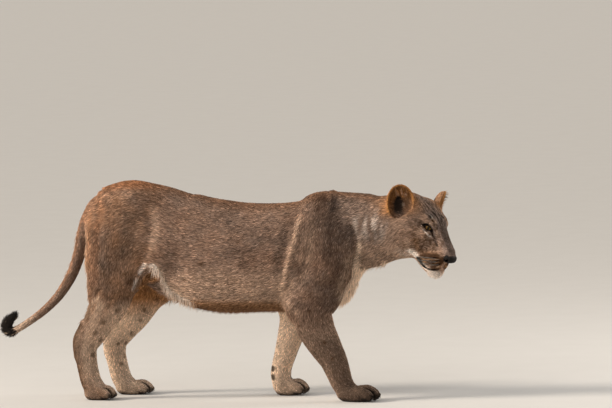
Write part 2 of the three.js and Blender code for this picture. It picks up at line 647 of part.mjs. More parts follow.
// the trunk's nodes, back to front: name, from x, to x, lowest z, grid step, what is cut away, coat
const trunkNodes = [
  ['rump', LO[0], RUMP_X, 200, [34, 28, 28], [legRoom[1], tailShare], 'back'],
  ['barrel', RUMP_X + GAP, SHOULDER_X, 200, [48, 30, 30], legRoom, 'flank'],
  ['shoulders', SHOULDER_X + GAP, NECK_X, 200, [34, 28, 28], [legRoom[0]], 'back'],
  ['neck', NECK_X + GAP, 900, 300, [34, 26, 26], [headShare], 'flank'],
];
for (const [name, x0, x1, z0, step, drop, coat] of trunkNodes) {
  node(name, piece(share([x0, LO[1], z0], [x1, HI[1], HI[2]]), step, 0.26, drop), coat);
}
const legStep = { upper: [22, 18, 26], lower: [18, 14, 22], paw: [13, 8, 10] };
const legPart = { upper: 0.3, lower: 0.3, paw: 0.22 };
for (const [name, s] of Object.entries(shares)) {
  const kind = name.split('_').pop();
  const coat = kind === 'upper' ? 'leg' : 'pale';
  node(name, piece(s, legStep[kind], legPart[kind]), coat);
}
const [c1, c2, c3] = TAIL_CUTS;
const tailSteps = { base: [14, 13, 24], middle: [18, 12, 18], end: [18, 9, 14], tuft: [10, 9, 10] };
const tailShares = {
  base: share([LO[0], -40, c1 + GAP], [TAIL_X, 40, 840]),
  middle: share([c2 + GAP, -40, 0], [TAIL_X, 40, c1]),
  end: share([c3 + GAP, -40, 0], [c2, 40, c1]),
  tuft: share([LO[0], -40, 0], [c3, 40, c1]),
};
for (const [name, s] of Object.entries(tailShares)) {
  node(`tail_${name}`, piece(s, tailSteps[name], 0.35), name === 'tuft' ? 'dark' : 'flank');
}

// head: sampled whole, then hollowed for the ears, the eyes and the nose leather
const noseCut = share([113, -60, -100], [175, 60, 0]);
const grown = (v) => v.map((c) => c * HEAD.scale);
const inHead = (s) => share(grown(s.lo), grown(s.hi), HEAD.at, headAxes);
const noseShare = inHead(noseCut);
let head = sampled(headShare, [640, -225, 530], [1060, 150, 960], [9, 9, 9], 0.112);
node('nose', largest(sampled(noseShare, [900, -180, 570], [1050, -40, 740], [6, 6, 6], 0.2)), 'nose');
head = head.subtract(boxSolid(noseShare, GAP));
for (const [name, ear] of Object.entries(EARS)) {
  const ax = axesFrom(ear.cup, ear.up);
  const worldAx = ax.map((v) => fromFrame(v, [0, 0, 0], headAxes));
  const s = ear.size * HEAD.scale;
  const at = fromHead(ear.at);
  const cupAt = fromFrame(EAR_SHIFT.map((v) => v * s), at, worldAx);
  const outer = EAR_OUT.map((v) => v * s);
  const inner = EAR_IN.map((v) => v * s);
  const cup = ballSolid(cupAt, inner, worldAx, 14, 9);
  node(name, largest(ballSolid(at, outer, worldAx, 16, 10).subtract(cup)), 'ear');
  head = head.subtract(ballSolid(at, outer.map((v) => v + GAP * 1.6), worldAx, 16, 10)).subtract(cup);
}
for (const [name, s] of [['eye_right', -1], ['eye_left', 1]]) {
  const at = fromHead([EYE_AT[0], EYE_AT[1] * s, EYE_AT[2]]);
  node(name, ballSolid(at, [EYE_RADIUS, EYE_RADIUS, EYE_RADIUS], headAxes, 12, 8), 'eye');
  const pocket = EYE_RADIUS + GAP * 1.6;
  head = head.subtract(ballSolid(at, [pocket, pocket, pocket], headAxes, 12, 8));
}
node('head', largest(head), 'flank');

// origin: the middle of the footprint, on the floor
group.updateMatrixWorld(true);
const bounds = new THREE.Box3().setFromObject(group);
group.position.set(-(bounds.min.x + bounds.max.x) / 2, -(bounds.min.y + bounds.max.y) / 2, -bounds.min.z);

export default group;
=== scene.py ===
"""A still, life-size lioness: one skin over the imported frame, dressed in short tufts of coat."""

import itertools
import math
from concurrent.futures import ThreadPoolExecutor

import bpy
import numpy as np
from mathutils import Matrix, Vector


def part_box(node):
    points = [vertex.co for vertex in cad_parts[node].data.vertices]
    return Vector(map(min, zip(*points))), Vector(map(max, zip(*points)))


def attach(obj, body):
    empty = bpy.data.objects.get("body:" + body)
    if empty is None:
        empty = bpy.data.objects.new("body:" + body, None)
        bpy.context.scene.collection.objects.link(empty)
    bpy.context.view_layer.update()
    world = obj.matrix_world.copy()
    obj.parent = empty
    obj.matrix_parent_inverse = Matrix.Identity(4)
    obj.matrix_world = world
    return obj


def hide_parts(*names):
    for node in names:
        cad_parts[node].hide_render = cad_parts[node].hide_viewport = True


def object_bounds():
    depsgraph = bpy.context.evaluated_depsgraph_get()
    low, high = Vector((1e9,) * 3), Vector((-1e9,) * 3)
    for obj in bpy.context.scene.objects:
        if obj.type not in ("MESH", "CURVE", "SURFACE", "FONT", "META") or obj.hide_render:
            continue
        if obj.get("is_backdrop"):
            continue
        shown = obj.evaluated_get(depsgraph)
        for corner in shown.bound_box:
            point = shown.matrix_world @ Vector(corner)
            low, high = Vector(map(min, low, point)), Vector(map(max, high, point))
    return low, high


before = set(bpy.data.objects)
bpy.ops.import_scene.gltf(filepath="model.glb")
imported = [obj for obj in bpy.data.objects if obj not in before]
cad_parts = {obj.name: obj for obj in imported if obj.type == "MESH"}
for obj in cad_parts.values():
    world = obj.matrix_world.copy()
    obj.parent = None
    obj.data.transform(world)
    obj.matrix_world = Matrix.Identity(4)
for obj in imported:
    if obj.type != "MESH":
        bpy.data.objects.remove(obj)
cad_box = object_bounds()
BODY = "root"
MM = 0.001

# The shape is worked out in millimetres about the middle of the trunk on the floor: +X forward, +Y the
# animal's left, +Z up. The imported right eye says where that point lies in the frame.
EYE_RADIUS = 19.0
HEAD_AT = np.array([884.0, -50.0, 746.0])
HEAD_SCALE = 1.2
HEAD_ANGLES = np.radians([-30.0, 25.0, -5.0])  # yaw, pitch, roll
EYE_AT = np.array([10.6, 36.0, 8.7])  # in the head's own frame, left eye


# ---------------------------------------------------------------------------------- small maths


def unit(v):
    v = np.asarray(v, float)
    return v / np.maximum(np.linalg.norm(v, axis=-1, keepdims=True), 1e-9)


def turn(yaw, pitch=0.0, roll=0.0):
    """The rotation matrix of a head or paw that is turned, then tipped, then rolled."""
    cy, sy, cp, sp, cr, sr = (f(a) for a in (yaw, pitch, roll) for f in (math.cos, math.sin))
    about_z = np.array([[cy, -sy, 0], [sy, cy, 0], [0, 0, 1]])
    about_y = np.array([[cp, 0, sp], [0, 1, 0], [-sp, 0, cp]])
    about_x = np.array([[1, 0, 0], [0, cr, -sr], [0, sr, cr]])
    return about_z @ about_y @ about_x


def axes_from(x, z):
    """A rotation whose third column is z and whose first leans towards x."""
    z = unit(z)
    x = unit(np.asarray(x, float) - z * (z @ x))
    return np.stack([x, np.cross(z, x), z], 1)


def smin(a, b, k):
    """The smaller of two distances, with the join rounded over k."""
    if k <= 0:
        return np.minimum(a, b)
    h = np.maximum(k - np.abs(a - b), 0) / k
    return np.minimum(a, b) - h * h * k * 0.25


def smax(a, b, k):
    return -smin(-a, -b, k)


CORES = 4
pool = ThreadPoolExecutor(CORES)


def shared_out(function, *arrays, rows=12000):
    """function over long arrays, worked out in slices on all the machine's cores."""
    cuts = np.arange(rows, len(arrays[0]), rows)
    slices = zip(*[np.split(a, cuts) for a in arrays])
    return np.concatenate(list(pool.map(lambda some: function(*some), slices)))


def step(low, high, x):
    """0 below low, 1 above high, smooth between; low may be the larger of the two."""
    t = np.clip((x - low) / (high - low), 0, 1)
    return t * t * (3 - 2 * t)


def mix(a, b, w):
    return a + (b - a) * w


def far(p, spot):
    """How far each point is from the spot."""
    return np.linalg.norm(p - spot, axis=1)


def noise(p, size, seed=0):
    """Smooth values from -1 to 1 that change over about size millimetres."""
    q = p / size + 31.7 * seed
    cell = np.floor(q).astype(np.int64)
    f = q - cell
    f = f * f * (3 - 2 * f)
    total = np.zeros(len(p))
    for corner in itertools.product((0, 1), repeat=3):
        c = cell + corner
        h = (c[:, 0] * 73856093) ^ (c[:, 1] * 19349663) ^ (c[:, 2] * 83492791)
        h = (h ^ (h >> 13)) * 1274126177 & 0x7FFFFFFF
        weight = np.prod(np.where(corner, f, 1 - f), axis=1)
        total += weight * (h / 0x3FFFFFFF - 1)
    return total


# ---------------------------------------------------------------------------------- shape kit


def catmull(rows, steps):
    """Points on the Catmull-Rom curve through rows, steps to a span."""
    rows = np.asarray(rows, float)
    ends = np.vstack([2 * rows[0] - rows[1], rows, 2 * rows[-1] - rows[-2]])
    if len(rows) == 2:
        return rows[0] + (rows[1] - rows[0]) * np.linspace(0, 1, steps + 1)[:, None]
    out = []
    for a, b, c, d in zip(ends, ends[1:], ends[2:], ends[3:]):
        for t in np.arange(steps) / steps:
            bend = (2 * a - 5 * b + 4 * c - d) * t * t + (3 * b - a - 3 * c + d) * t**3
            out.append(0.5 * (2 * b + (c - a) * t + bend))
    return np.array(out + [rows[-1]])


class Limb:
    """An ellipse swept along a curve. Each row is x, y, z, half height, half width, and where the section
    isn't a plain ellipse also egg (wider below when positive) and its roundness."""

    def __init__(self, rows, side=(0, 1, 0), cap=1.0, steps=4):
        rows = [list(r) + [0.0, 2.0][len(r) - 5 :] if len(r) < 7 else list(r) for r in rows]
        samples = catmull(rows, steps)
        self.centre, self.height, self.width = samples[:, :3], samples[:, 3], samples[:, 4]
        self.egg, self.power, self.cap = samples[:, 5], samples[:, 6], cap
        self.tangent = unit(np.gradient(self.centre, axis=0))
        side = np.broadcast_to(np.asarray(side, float), self.tangent.shape)
        self.side = unit(side - (side * self.tangent).sum(1)[:, None] * self.tangent)
        self.up = np.cross(self.tangent, self.side)
        reach = max(self.height.max(), self.width.max()) * max(1, cap)
        self.lo, self.hi = self.centre.min(0) - reach, self.centre.max(0) + reach
        runs = np.linalg.norm(np.diff(self.centre, axis=0), axis=1)
        self.run = np.append(0, np.cumsum(runs)) / runs.sum()
        self.total = runs.sum()

    def closest(self, p):
        """The span that each point is nearest to, and how far along it."""
        best, span = np.full(len(p), 1e18), np.zeros(len(p), np.int32)
        for i in range(len(self.centre) - 1):
            d = self.centre[i + 1] - self.centre[i]
            q = p - self.centre[i]
            t = np.clip(q @ d / (d @ d), 0, 1)
            q = q - t[:, None] * d
            s = (q * q).sum(1)
            near = s < best
            best[near], span[near] = s[near], i
        return self.on_section(p, span)

    def ahead(self, p, k):
        """How far each point lies ahead of the section through sample k."""
        return ((p - self.centre[k]) * self.tangent[k]).sum(1)

    def on_section(self, p, span):
        """The place near span whose section holds the point, which keeps bends smooth."""
        last = len(self.centre) - 2
        span = np.where((self.ahead(p, span) < 0) & (span > 0), span - 1, span)
        span = np.where((self.ahead(p, span + 1) > 0) & (span < last), span + 1, span)
        before, after = self.ahead(p, span), -self.ahead(p, span + 1)
        inside = (before >= 0) & (after >= 0)
        t = np.where(inside, before / np.maximum(before + after, 1e-9), np.where(before < 0, 0.0, 1.0))
        return span, t

    def at(self, values, span, along):
        t = along if values.ndim == 1 else along[:, None]
        return values[span] + (values[span + 1] - values[span]) * t

    def run_at(self, p):
        """How far along the limb each point lies, from 0 to 1."""
        return self.at(self.run, *self.closest(p))

    def section(self, p, span, along):
        """The point in the section's own axes: along, sideways, up."""
        q = p - self.at(self.centre, span, along)
        return [(q * self.at(v, span, along)).sum(1) for v in (self.tangent, self.side, self.up)]

    def __call__(self, p):
        span, along = self.closest(p)
        w, v, n = self.section(p, span, along)
        a, b, egg, power = (
            self.at(x, span, along) for x in (self.height, self.width, self.egg, self.power)
        )
        b_here = b * (1 - egg * np.clip(n / a, -1, 1))
        at_end = ((span == 0) & (along <= 0)) | ((span == len(self.centre) - 2) & (along >= 1))
        length = np.sqrt(w * w + v * v + n * n)
        w = np.where(at_end, w, 0)
        k = ((np.abs(n) / a) ** power + (np.abs(v) / b_here) ** power) ** (2 / power)
        k = np.sqrt(k + (w / (self.cap * np.sqrt(a * b))) ** 2)
        return np.where(k < 1e-4, -np.minimum(a, b), length * (1 - 1 / np.maximum(k, 1e-4)))


class Ball:
    """An ellipsoid: its centre, half sizes and, as rows, its own axes."""

    def __init__(self, centre, radii, axes=np.eye(3)):
        self.centre, self.radii, self.axes = np.asarray(centre, float), np.asarray(radii, float), axes
        self.lo, self.hi = self.centre - self.radii.max(), self.centre + self.radii.max()

    def __call__(self, p):
        q = (p - self.centre) @ self.axes.T
        k = np.sqrt(((q / self.radii) ** 2).sum(1))
        length = np.sqrt((q * q).sum(1))
        return np.where(k < 1e-4, -self.radii.min(), length * (1 - 1 / np.maximum(k, 1e-4)))


def path_distance(p, points, steps=6):
    """How far each point is from the smooth curve through points, and how far along the nearest place is."""
    curve = catmull(points, steps)
    best, along = np.full(len(p), 1e9), np.zeros(len(p))
    for i in range(len(curve) - 1):
        d = curve[i + 1] - curve[i]
        q = p - curve[i]
        t = np.clip(q @ d / (d @ d), 0, 1)
        s = np.linalg.norm(q - t[:, None] * d, axis=1)
        near = s < best
        best[near], along[near] = s[near], (i + t[near]) / (len(curve) - 1)
    return best, along


# ---------------------------------------------------------------------------------- the lioness's form

TRUNK = [  # x, top line, bottom line, half width, egg, roundness
    (-640, 800, 660, 52, 0.00, 2.0),
    (-600, 868, 612, 80, 0.00, 2.0),
    (-540, 922, 570, 98, 0.05, 2.1),
    (-460, 946, 580, 104, 0.12, 2.2),
    (-358, 938, 536, 104, 0.14, 2.2),
    (-254, 912, 446, 106, 0.16, 2.2),
    (-150, 883, 398, 118, 0.18, 2.2),
    (-40, 864, 374, 128, 0.18, 2.2),
    (90, 851, 377, 131, 0.17, 2.2),
    (230, 851, 380, 126, 0.14, 2.2),
    (330, 862, 384, 114, 0.10, 2.1),
    (395, 874, 392, 100, 0.05, 2.1),
    (440, 866, 400, 84, 0.00, 2.0),
]
NECK = [
    (400, 0, 712, 150, 84, 0.05, 2.0),
    (500, -3, 722, 150, 86, 0.05, 2.0),
    (590, -10, 724, 157, 90),
    (680, -22, 740, 144, 92),
    (750, -36, 754, 134, 94),
    (800, -46, 764, 122, 94),
]
WITHERS = [(360, 0, 842, 36, 26), (430, 0, 862, 36, 30), (510, 0, 858, 36, 32), (600, -8, 850, 30, 34)]
BRISKET = [(360, 0, 452, 72, 66), (440, 0, 470, 70, 66), (482, 0, 525, 68, 64), (504, 0, 605, 66, 66)]
TAIL = [
    (-580, 0, 858, 38, 34), (-618, 0, 830, 35, 30), (-652, 0, 780, 31, 28), (-675, 0, 715, 28, 26),
    (-694, 0, 630, 26.5, 25), (-732, 0, 535, 24, 23), (-790, 0, 448, 21, 20), (-860, 0, 380, 18, 17),
    (-930, 0, 330, 16, 16), (-980, 0, 300, 16, 16), (-1008, 0, 290, 19, 19), (-1028, 0, 303, 22, 20),
    (-1022, 0, 330, 20, 19), (-1006, 0, 348, 14, 13),
]
# Each leg's rows, then its paw: back of the heel pad x, y, length, width, and turn in degrees.
LEGS = {
    "foreleg_right": (
        [
            (440, -92, 560, 86, 44), (400, -100, 475, 100, 50), (363, -102, 400, 93, 48),
            (376, -100, 320, 84, 46), (416, -98, 240, 72, 43), (450, -98, 180, 61, 40),
            (471, -98, 125, 54, 38), (485, -98, 85, 49, 39), (503, -98, 52, 45, 42),
        ],
        (484, -98, 174, 104, -3),
    ),
    "foreleg_left": (
        [
            (410, 92, 560, 88, 44), (330, 100, 475, 98, 50), (262, 102, 400, 82, 48),
            (240, 99, 320, 66, 46), (219, 97, 250, 56, 42), (199, 96, 185, 49, 39),
            (182, 96, 130, 45, 38), (176, 96, 90, 45, 39), (180, 96, 55, 43, 42),
        ],
        (160, 96, 138, 102, 2),
    ),
    "hindleg_right": (
        [
            (-506, -80, 700, 116, 50), (-522, -90, 600, 114, 53), (-529, -97, 510, 108, 54),
            (-541, -98, 440, 98, 50), (-577, -98, 360, 75, 43), (-617, -96, 290, 59, 36),
            (-647, -94, 240, 51, 33), (-651, -93, 190, 48, 31), (-643, -93, 130, 46, 30),
            (-631, -92, 80, 46, 33), (-614, -92, 50, 45, 37),
        ],
        (-650, -92, 132, 90, -4),
    ),
    "hindleg_left": (
        [
            (-496, 80, 700, 116, 50), (-476, 90, 600, 114, 53), (-442, 97, 510, 106, 54),
            (-434, 98, 440, 88, 48), (-470, 97, 360, 71, 41), (-525, 95, 285, 55, 34),
            (-560, 93, 235, 49, 32), (-566, 92, 185, 47, 31), (-556, 92, 130, 45, 30),
            (-543, 92, 80, 45, 33), (-528, 92, 50, 44, 37),
        ],
        (-548, 92, 152, 90, 4),
    ),
}
PAW_HEIGHT = {"foreleg": 62, "hindleg": 56}
TOES = ((-0.37, 0.77, 0.9), (-0.125, 0.88, 1.0), (0.125, 0.88, 1.0), (0.37, 0.77, 0.9))


class Paw:
    """A palm and four toes over a sole at z = 0."""

    def __init__(self, x, y, length, width, degrees, height):
        self.origin = np.array([x, y, 0.0])
        self.turn = turn(math.radians(degrees))
        self.size = np.array([length, width, height])
        palm_radii = self.size * (0.42, 0.44, 0.62)
        self.palm = Ball(self.at(0.36, 0, 0.42), palm_radii, self.turn.T)
        self.toes = [self.toe(*t) for t in TOES]

    def at(self, f, l, u):
        return self.origin + self.turn @ (np.array([f, l, u]) * self.size)

    def toe(self, l, tip, h):
        r, height = 0.135 * self.size[1], self.size[2]
        rows = [
            (*self.at(tip - 0.46, l * 0.75, 0.72), 0.30 * height, r * 0.95),
            (*self.at(tip - 0.26, l * 0.95, 0.80 * h), 0.36 * height, r),
            (*self.at(tip - 0.10, l, 0.60 * h), 0.38 * height, r * 1.04),
            (*self.at(tip, l, 0.36), 0.32 * height, r * 0.92),
        ]
        return Limb(rows, side=self.turn @ (0, 1, 0), cap=0.8)


trunk = Limb([(x, 0, (t + b) / 2, (t - b) / 2, w, e, m) for x, t, b, w, e, m in TRUNK], cap=0.1)
neck = Limb(NECK, cap=0.5)
tail = Limb(TAIL)
legs = {name: Limb(rows, cap=0.9) for name, (rows, _) in LEGS.items()}
paws = {name: Paw(*spec, PAW_HEIGHT[name[:7]]) for name, (_, spec) in LEGS.items()}
blades = {}
parts = [(trunk, 0), (neck, 60), (Limb(WITHERS), 40)]
for side, name in ((-1, "right"), (1, "left")):
    back = 0 if side < 0 else -45  # the left shoulder is drawn back with its leg
    rows = [
        (385 + 0.3 * back, side * 50, 838, 52, 28),
        (405 + 0.5 * back, side * 80, 740, 84, 36),
        (425 + 0.7 * back, side * 92, 640, 96, 42),
        (420 + 0.9 * back, side * 96, 560, 90, 44),
    ]
    blades[name] = Limb(rows, cap=0.8)
    parts.append((blades[name], 66))
    parts.append((Ball((-445, side * 56, 872), (74, 30, 38)), 90))
parts.append((Limb(BRISKET), 60))
for name, limb in legs.items():
    parts.append((limb, 60))
    parts.append((paws[name].palm, 26))
    parts += [(toe, 9) for toe in paws[name].toes]
for x, y, z in ((-682, -94, 248), (-594, 93, 243)):
    heel = [
        (x + 62, y, z + 120, 24, 15),
        (x + 22, y, z + 60, 22, 15),
        (x + 2, y, z + 12, 24, 17),
        (x + 8, y, z - 50, 22, 16),
    ]
    parts.append((Limb(heel), 32))
parts.append((Ball((300, -97, 414), (50, 34, 56)), 45))
parts.append((Ball((222, 97, 407), (46, 34, 56)), 45))
for fold in (
    [(-282, -78, 640, 66, 26), (-350, -90, 636, 62, 28), (-432, -97, 540, 54, 32)],
    [(-220, 72, 560, 66, 28), (-292, 86, 505, 60, 30), (-352, 95, 468, 56, 34)],
):
    parts.append((Limb(fold), 70))
for side in (-1, 1):
    rows = [(-566, side * 42, 800, 48, 38), (-586, side * 60, 720, 48, 42), (-586, side * 72, 610, 50, 42)]
    parts.append((Limb(rows), 50))
parts.append((tail, 30))

# Folds and muscle edges in the hide on the right side: a curve in x, y, z, how wide it spreads and how deep
# it dents (a negative depth stands proud). The left side's are the same, moved along with its legs.
RIGHT_FOLDS = [
    ([(334, -70, 835), (302, -112, 717), (278, -124, 623), (254, -126, 524), (240, -116, 454)], 13, -5.0),
    ([(306, -60, 850), (272, -115, 730), (250, -130, 620), (226, -130, 520)], 16, 5.5),
    ([(374, -100, 803), (353, -128, 675), (330, -138, 568), (300, -136, 500)], 20, 5.0),
    ([(440, -104, 780), (428, -130, 690), (420, -140, 600)], 22, -3.5),
    ([(544, -87, 790), (556, -86, 700), (557, -84, 619), (534, -100, 556)], 17, 7.0),
    ([(574, -94, 700), (572, -84, 650), (545, -66, 561)], 12, -3.0),
    ([(246, -124, 470), (300, -140, 478), (352, -150, 452)], 11, 3.5),
    ([(262, -128, 440), (292, -138, 410)], 20, -5.0),
    ([(-350, -92, 850), (-338, -106, 742), (-362, -115, 640), (-392, -122, 560)], 24, 6.0),
    ([(-575, -80, 860), (-581, -130, 700), (-572, -146, 560)], 22, 4.0),
    ([(-560, -146, 510), (-592, -142, 455), (-622, -131, 380)], 11, 4.0),
    ([(-500, -150, 470), (-540, -150, 420), (-590, -140, 372)], 13, 3.0),
    ([(-430, -136, 560), (-462, -142, 500), (-500, -140, 440)], 20, -3.5),
    ([(-638, -116, 450), (-652, -116, 390), (-668, -114, 345)], 24, 13.0),
]
FOLDS = RIGHT_FOLDS + [
    ([(x - 45 if x > 0 else x + 60, -y, z) for x, y, z in curve], spread, depth)
    for curve, spread, depth in RIGHT_FOLDS
]
FOLDS += [
    # the right groin's edge and hollow, which the left side lacks
    ([(-384, -116, 598), (-350, -113, 612), (-313, -119, 600), (-286, -120, 560)], 10, -4.5),
    ([(-372, -104, 500), (-354, -104, 532), (-334, -98, 536), (-322, -80, 500)], 22, 21.0),
    # fills for the steps above the tail's root and behind the right shoulder's top
    (
        [(-583, -62, 872), (-583, -40, 886), (-583, -20, 899), (-583, 0, 904)]
        + [(-583, 20, 899), (-583, 40, 886), (-583, 62, 872)],
        12,
        -6.0,
    ),
    (
        [(454, -110, 800), (454, -70, 846), (454, -50, 869)]
        + [(454, -30, 887), (454, 0, 900), (454, 30, 890)],
        12,
        -3.5,
    ),
]


# ---------------------------------------------------------------------------------- the head's form
# In the head's own frame: f forward, l to its left, u up, from between the eyes.

HEAD_TURN = turn(*HEAD_ANGLES)


def to_head(p):
    return (p - HEAD_AT) @ HEAD_TURN / HEAD_SCALE


def from_head(q):
    return np.asarray(q, float) * HEAD_SCALE @ HEAD_TURN.T + HEAD_AT


HEAD_LO, HEAD_HI = np.array([-235, -175, -190.0]), np.array([170, 175, 175.0])
SKULL = [
    (-150, 0, 0, 62, 60),
    (-110, 0, 2, 71, 76),
    (-64, 0, 0, 70, 80),
    (-20, 0, -5, 63, 68),
    (12, 0, -17, 54, 52),
]
MUZZLE = [
    (0, 0, -22, 50, 44, 0.2, 2.2),
    (35, 0, -32, 48, 41, 0.26, 2.2),
    (70, 0, -46, 42, 39, 0.26, 2.2),
    (94, 0, -55, 36, 35, 0.2, 2.3),
    (109, 0, -58, 31, 29, 0.1, 2.3),
]
BRIDGE = [
    (5, 0, 24, 18, 27),
    (40, 0, 5, 20, 26, 0, 2.4),
    (82, 0, -23, 16, 23.5, 0, 2.4),
    (117, 0, -42, 13, 21, 0, 2.3),
    (130, 0, -49, 11, 19),
]
NOSE = [
    (102, 0, -59, 20, 22, 0, 2.6),
    (123, 0, -59, 18, 22.5, -0.1, 2.6),
    (137, 0, -56, 13, 19, -0.1, 2.4),
]
JAW = [
    (-45, 0, -72, 44, 56),
    (0, 0, -84, 42, 48),
    (40, 0, -108, 37, 38),
    (72, 0, -121, 31, 30),
    (92, 0, -121, 24, 25),
]
LIP_BACK = [(74, 30, -99, 24, 18), (50, 37, -99, 23, 17), (26, 43, -95, 17, 15)]
BROW = [(-34, 52, 33, 13, 16), (-2, 43, 36, 12, 15), (22, 33, 29, 11, 13)]
ZYGOMA = [(22, 50, -18, 10, 10), (-14, 66, -20, 13, 12), (-52, 76, -12, 16, 12)]
nose_shape = Limb(NOSE, cap=0.45)
# shape, join, and whether it is one of a pair, made for the left side
head_parts = [
    (Limb(SKULL, cap=0.7), 0, False),
    (Limb(MUZZLE, cap=0.4), 22, False),
    (Limb(BRIDGE, cap=0.7), 16, False),
    (Limb(JAW, cap=0.6), 22, False),
    (Ball((-44, 50, -42), (60, 38, 52)), 40, True),
    (Ball((-60, 42, -88), (44, 36, 34)), 34, True),
    (Ball((76, 25, -96), (33, 20, 27), turn(math.radians(-14)).T), 20, True),
    (Limb(LIP_BACK), 22, True),
    (Limb(BROW), 20, True),
    (Limb(ZYGOMA), 30, True),
    (Ball((-78, 54, 32), (46, 26, 34)), 34, True),
    (Ball((89, 0, -126), (28, 25, 22)), 12, False),
]
socket = Ball((20.9, 52.5, 9.7), (23, 7, 13.5), turn(math.radians(-32)).T)

# Ears, right then left: centre, axes (cup, across, up) and size.
EARS = {
    "right": (np.array([-102.0, -91, 47]), axes_from((0.60, -0.79, 0.1), (-0.34, -0.22, 0.90)), 1.13),
    "left": (np.array([-73.0, 94.5, 49.5]), axes_from((0.74, 0.66, 0.1), (-0.16, 0.20, 0.96)), 0.93),
}
EAR_OUT, EAR_IN = np.array([26, 45, 60.0]), np.array([28, 39.5, 54.0])
EAR_SHIFT = np.array([15, 0, 5.0])

# The left eye's opening: its long axis from the inner corner out, its normal, and half sizes.
EYE_R = EYE_RADIUS / HEAD_SCALE
LID = axes_from((-0.83, 0.53, 0.16), (0.53, 0.84, 0.1))
LID_HALF, LID_RISE = 15.0, 6.2
LID_HOOD = 0.66  # how far the upper lid opens, to the lower
LID_SKIN = 1.9
GAZE = unit((0.64, 0.77, 0.02))
MOUTH = [(128, 0, -97), (125, 10, -102), (109, 25, -114), (74, 40, -120), (47, 48, -117), (33, 50, -112)]
MOUTH_CORNER = [(34, 53, -108), (47, 52, -114), (54, 47, -121), (62, 45, -123)]
TEAR = [(32, 37, 5), (40, 38, -3), (52, 37, -14), (65, 35, -25), (76, 33, -33)]
LID_CREASE = [(36, 38, 15), (25, 46, 22), (11, 54, 21), (-3, 60, 13)]


def ellipsoid(q, radii):
    k = np.sqrt(((q / radii) ** 2).sum(1))
    return np.linalg.norm(q, axis=1) * (1 - 1 / np.maximum(k, 1e-3))


def mirrored(q):
    """The points with their left-right sign dropped, for what the head has in pairs."""
    out = q.copy()
    out[:, 1] = np.abs(out[:, 1])
    return out


def ear_place(q, name):
    """Points in an ear's own axes, in its own size."""
    centre, axes, size = EARS[name]
    return (q - centre) @ axes / size


def ear_facing(normals, name):
    """How far each normal points the way that the ear's cup does."""
    return normals @ (HEAD_TURN @ EARS[name][1][:, 0])


def ear_inward(e, name):
    """How far towards the ear's front edge points in the ear's own axes are."""
    return e[:, 1] * (1 if name == "right" else -1)


def ear_hollow(e):
    return ellipsoid(e - EAR_SHIFT, EAR_IN)


def eye_opening(q):
    """Below 0 inside the almond between the lids, for points on the left half; and the place in it."""
    e = (q - EYE_AT) @ LID
    sag = np.where(e[:, 1] > 0, LID_RISE * LID_HOOD, LID_RISE)
    bow = (LID_HALF**2 - sag**2) / (2 * sag)
    reach = np.sqrt(LID_HALF**2 + bow**2)
    lens = np.hypot(e[:, 0], np.abs(e[:, 1]) + bow) - reach
    return np.where(e[:, 2] > 0, lens, 9.0), e


def head_field(q):
    d = None
    pair = mirrored(q)
    for shape, k, paired in head_parts:
        v = shape(pair if paired else q)
        d = v if d is None else smin(d, v, k)
    return smax(d, -socket(pair), 7)


def face_details(d, q):
    """Lids round the eyes, the mouth's line and the dip under the nose, cut into the head's distances."""
    pair = mirrored(q)
    near = np.abs(d) < FACE_REACH
    d, p = d.copy(), pair[near]
    face = d[near]
    ball = far(p, EYE_AT)
    front = ((p - EYE_AT) @ LID)[:, 2] > -2
    lidded = smin(face, ball - EYE_R - LID_SKIN, 4)
    face = np.where(front, lidded, face)
    opening, _ = eye_opening(p)
    face = smax(face, -np.maximum(opening, EYE_R - 1.6 - ball), 1.2)
    gap, along = path_distance(p, MOUTH)
    face = smax(face, (3.2 + 1.2 * step(0.85, 1.0, along)) - gap, 3.0)
    dip = np.hypot(p[:, 1], np.maximum(0, np.abs(p[:, 2] + 88) - 7) * 0.6)
    face += 2.2 * np.exp(-((dip / 2.2) ** 2)) * (p[:, 0] > 95)
    gap, _ = path_distance(p, TEAR)
    face += 1.8 * np.exp(-((gap / 3.5) ** 2))
    gap, along = path_distance(p, LID_CREASE)
    face += 1.3 * np.exp(-((gap / 2.4) ** 2)) * step(0, 0.2, along) * step(1, 0.8, along)
    d[near] = face
    return d


def field(p):
    """Distance to the animal's outer form in millimetres, less than 0 inside."""
    return shared_out(field_here, p)


# How far beyond its join a part is worked out, and how near the surface folds and faces are.
PART_REACH, FOLD_REACH, FACE_REACH = 45, 40, 30


def field_here(p):
    d = np.full(len(p), 1e3)
    for shape, k in parts:
        reach = k + PART_REACH
        near = np.all((p > shape.lo - reach) & (p < shape.hi + reach), axis=1)
        if near.any():
            d[near] = smin(d[near], shape(p[near]), k)
    near = np.abs(d) < FOLD_REACH
    for curve, spread, depth in FOLDS:
        lo, hi = np.min(curve, 0) - 3 * spread, np.max(curve, 0) + 3 * spread
        close = near & np.all((p > lo) & (p < hi), axis=1)
        if close.any():
            gap, along = path_distance(p[close], curve, 4)
            fade = step(0, 0.2, along) * step(1, 0.8, along)
            d[close] += 1.5 * depth * fade * np.exp(-((gap / spread) ** 2))
    q = to_head(p)
    near = np.all((q > HEAD_LO) & (q < HEAD_HI), axis=1)
    if near.any():
        q = q[near]
        head = smin(d[near], head_field(q) * HEAD_SCALE, 50) / HEAD_SCALE
        for name, (_, _, size) in EARS.items():
            head = smin(head, ellipsoid(ear_place(q, name), EAR_OUT) * size, 10)
        for name, (_, _, size) in EARS.items():
            head = smax(head, -ear_hollow(ear_place(q, name)) * size, 5)
        d[near] = face_details(head, q) * HEAD_SCALE
    return np.maximum(d, -p[:, 2])


# ---------------------------------------------------------------------------------- surface from the form

CELL = 11.0  # the skin's widest cells, halved up to FINEST times where the form needs it
FINEST = 3


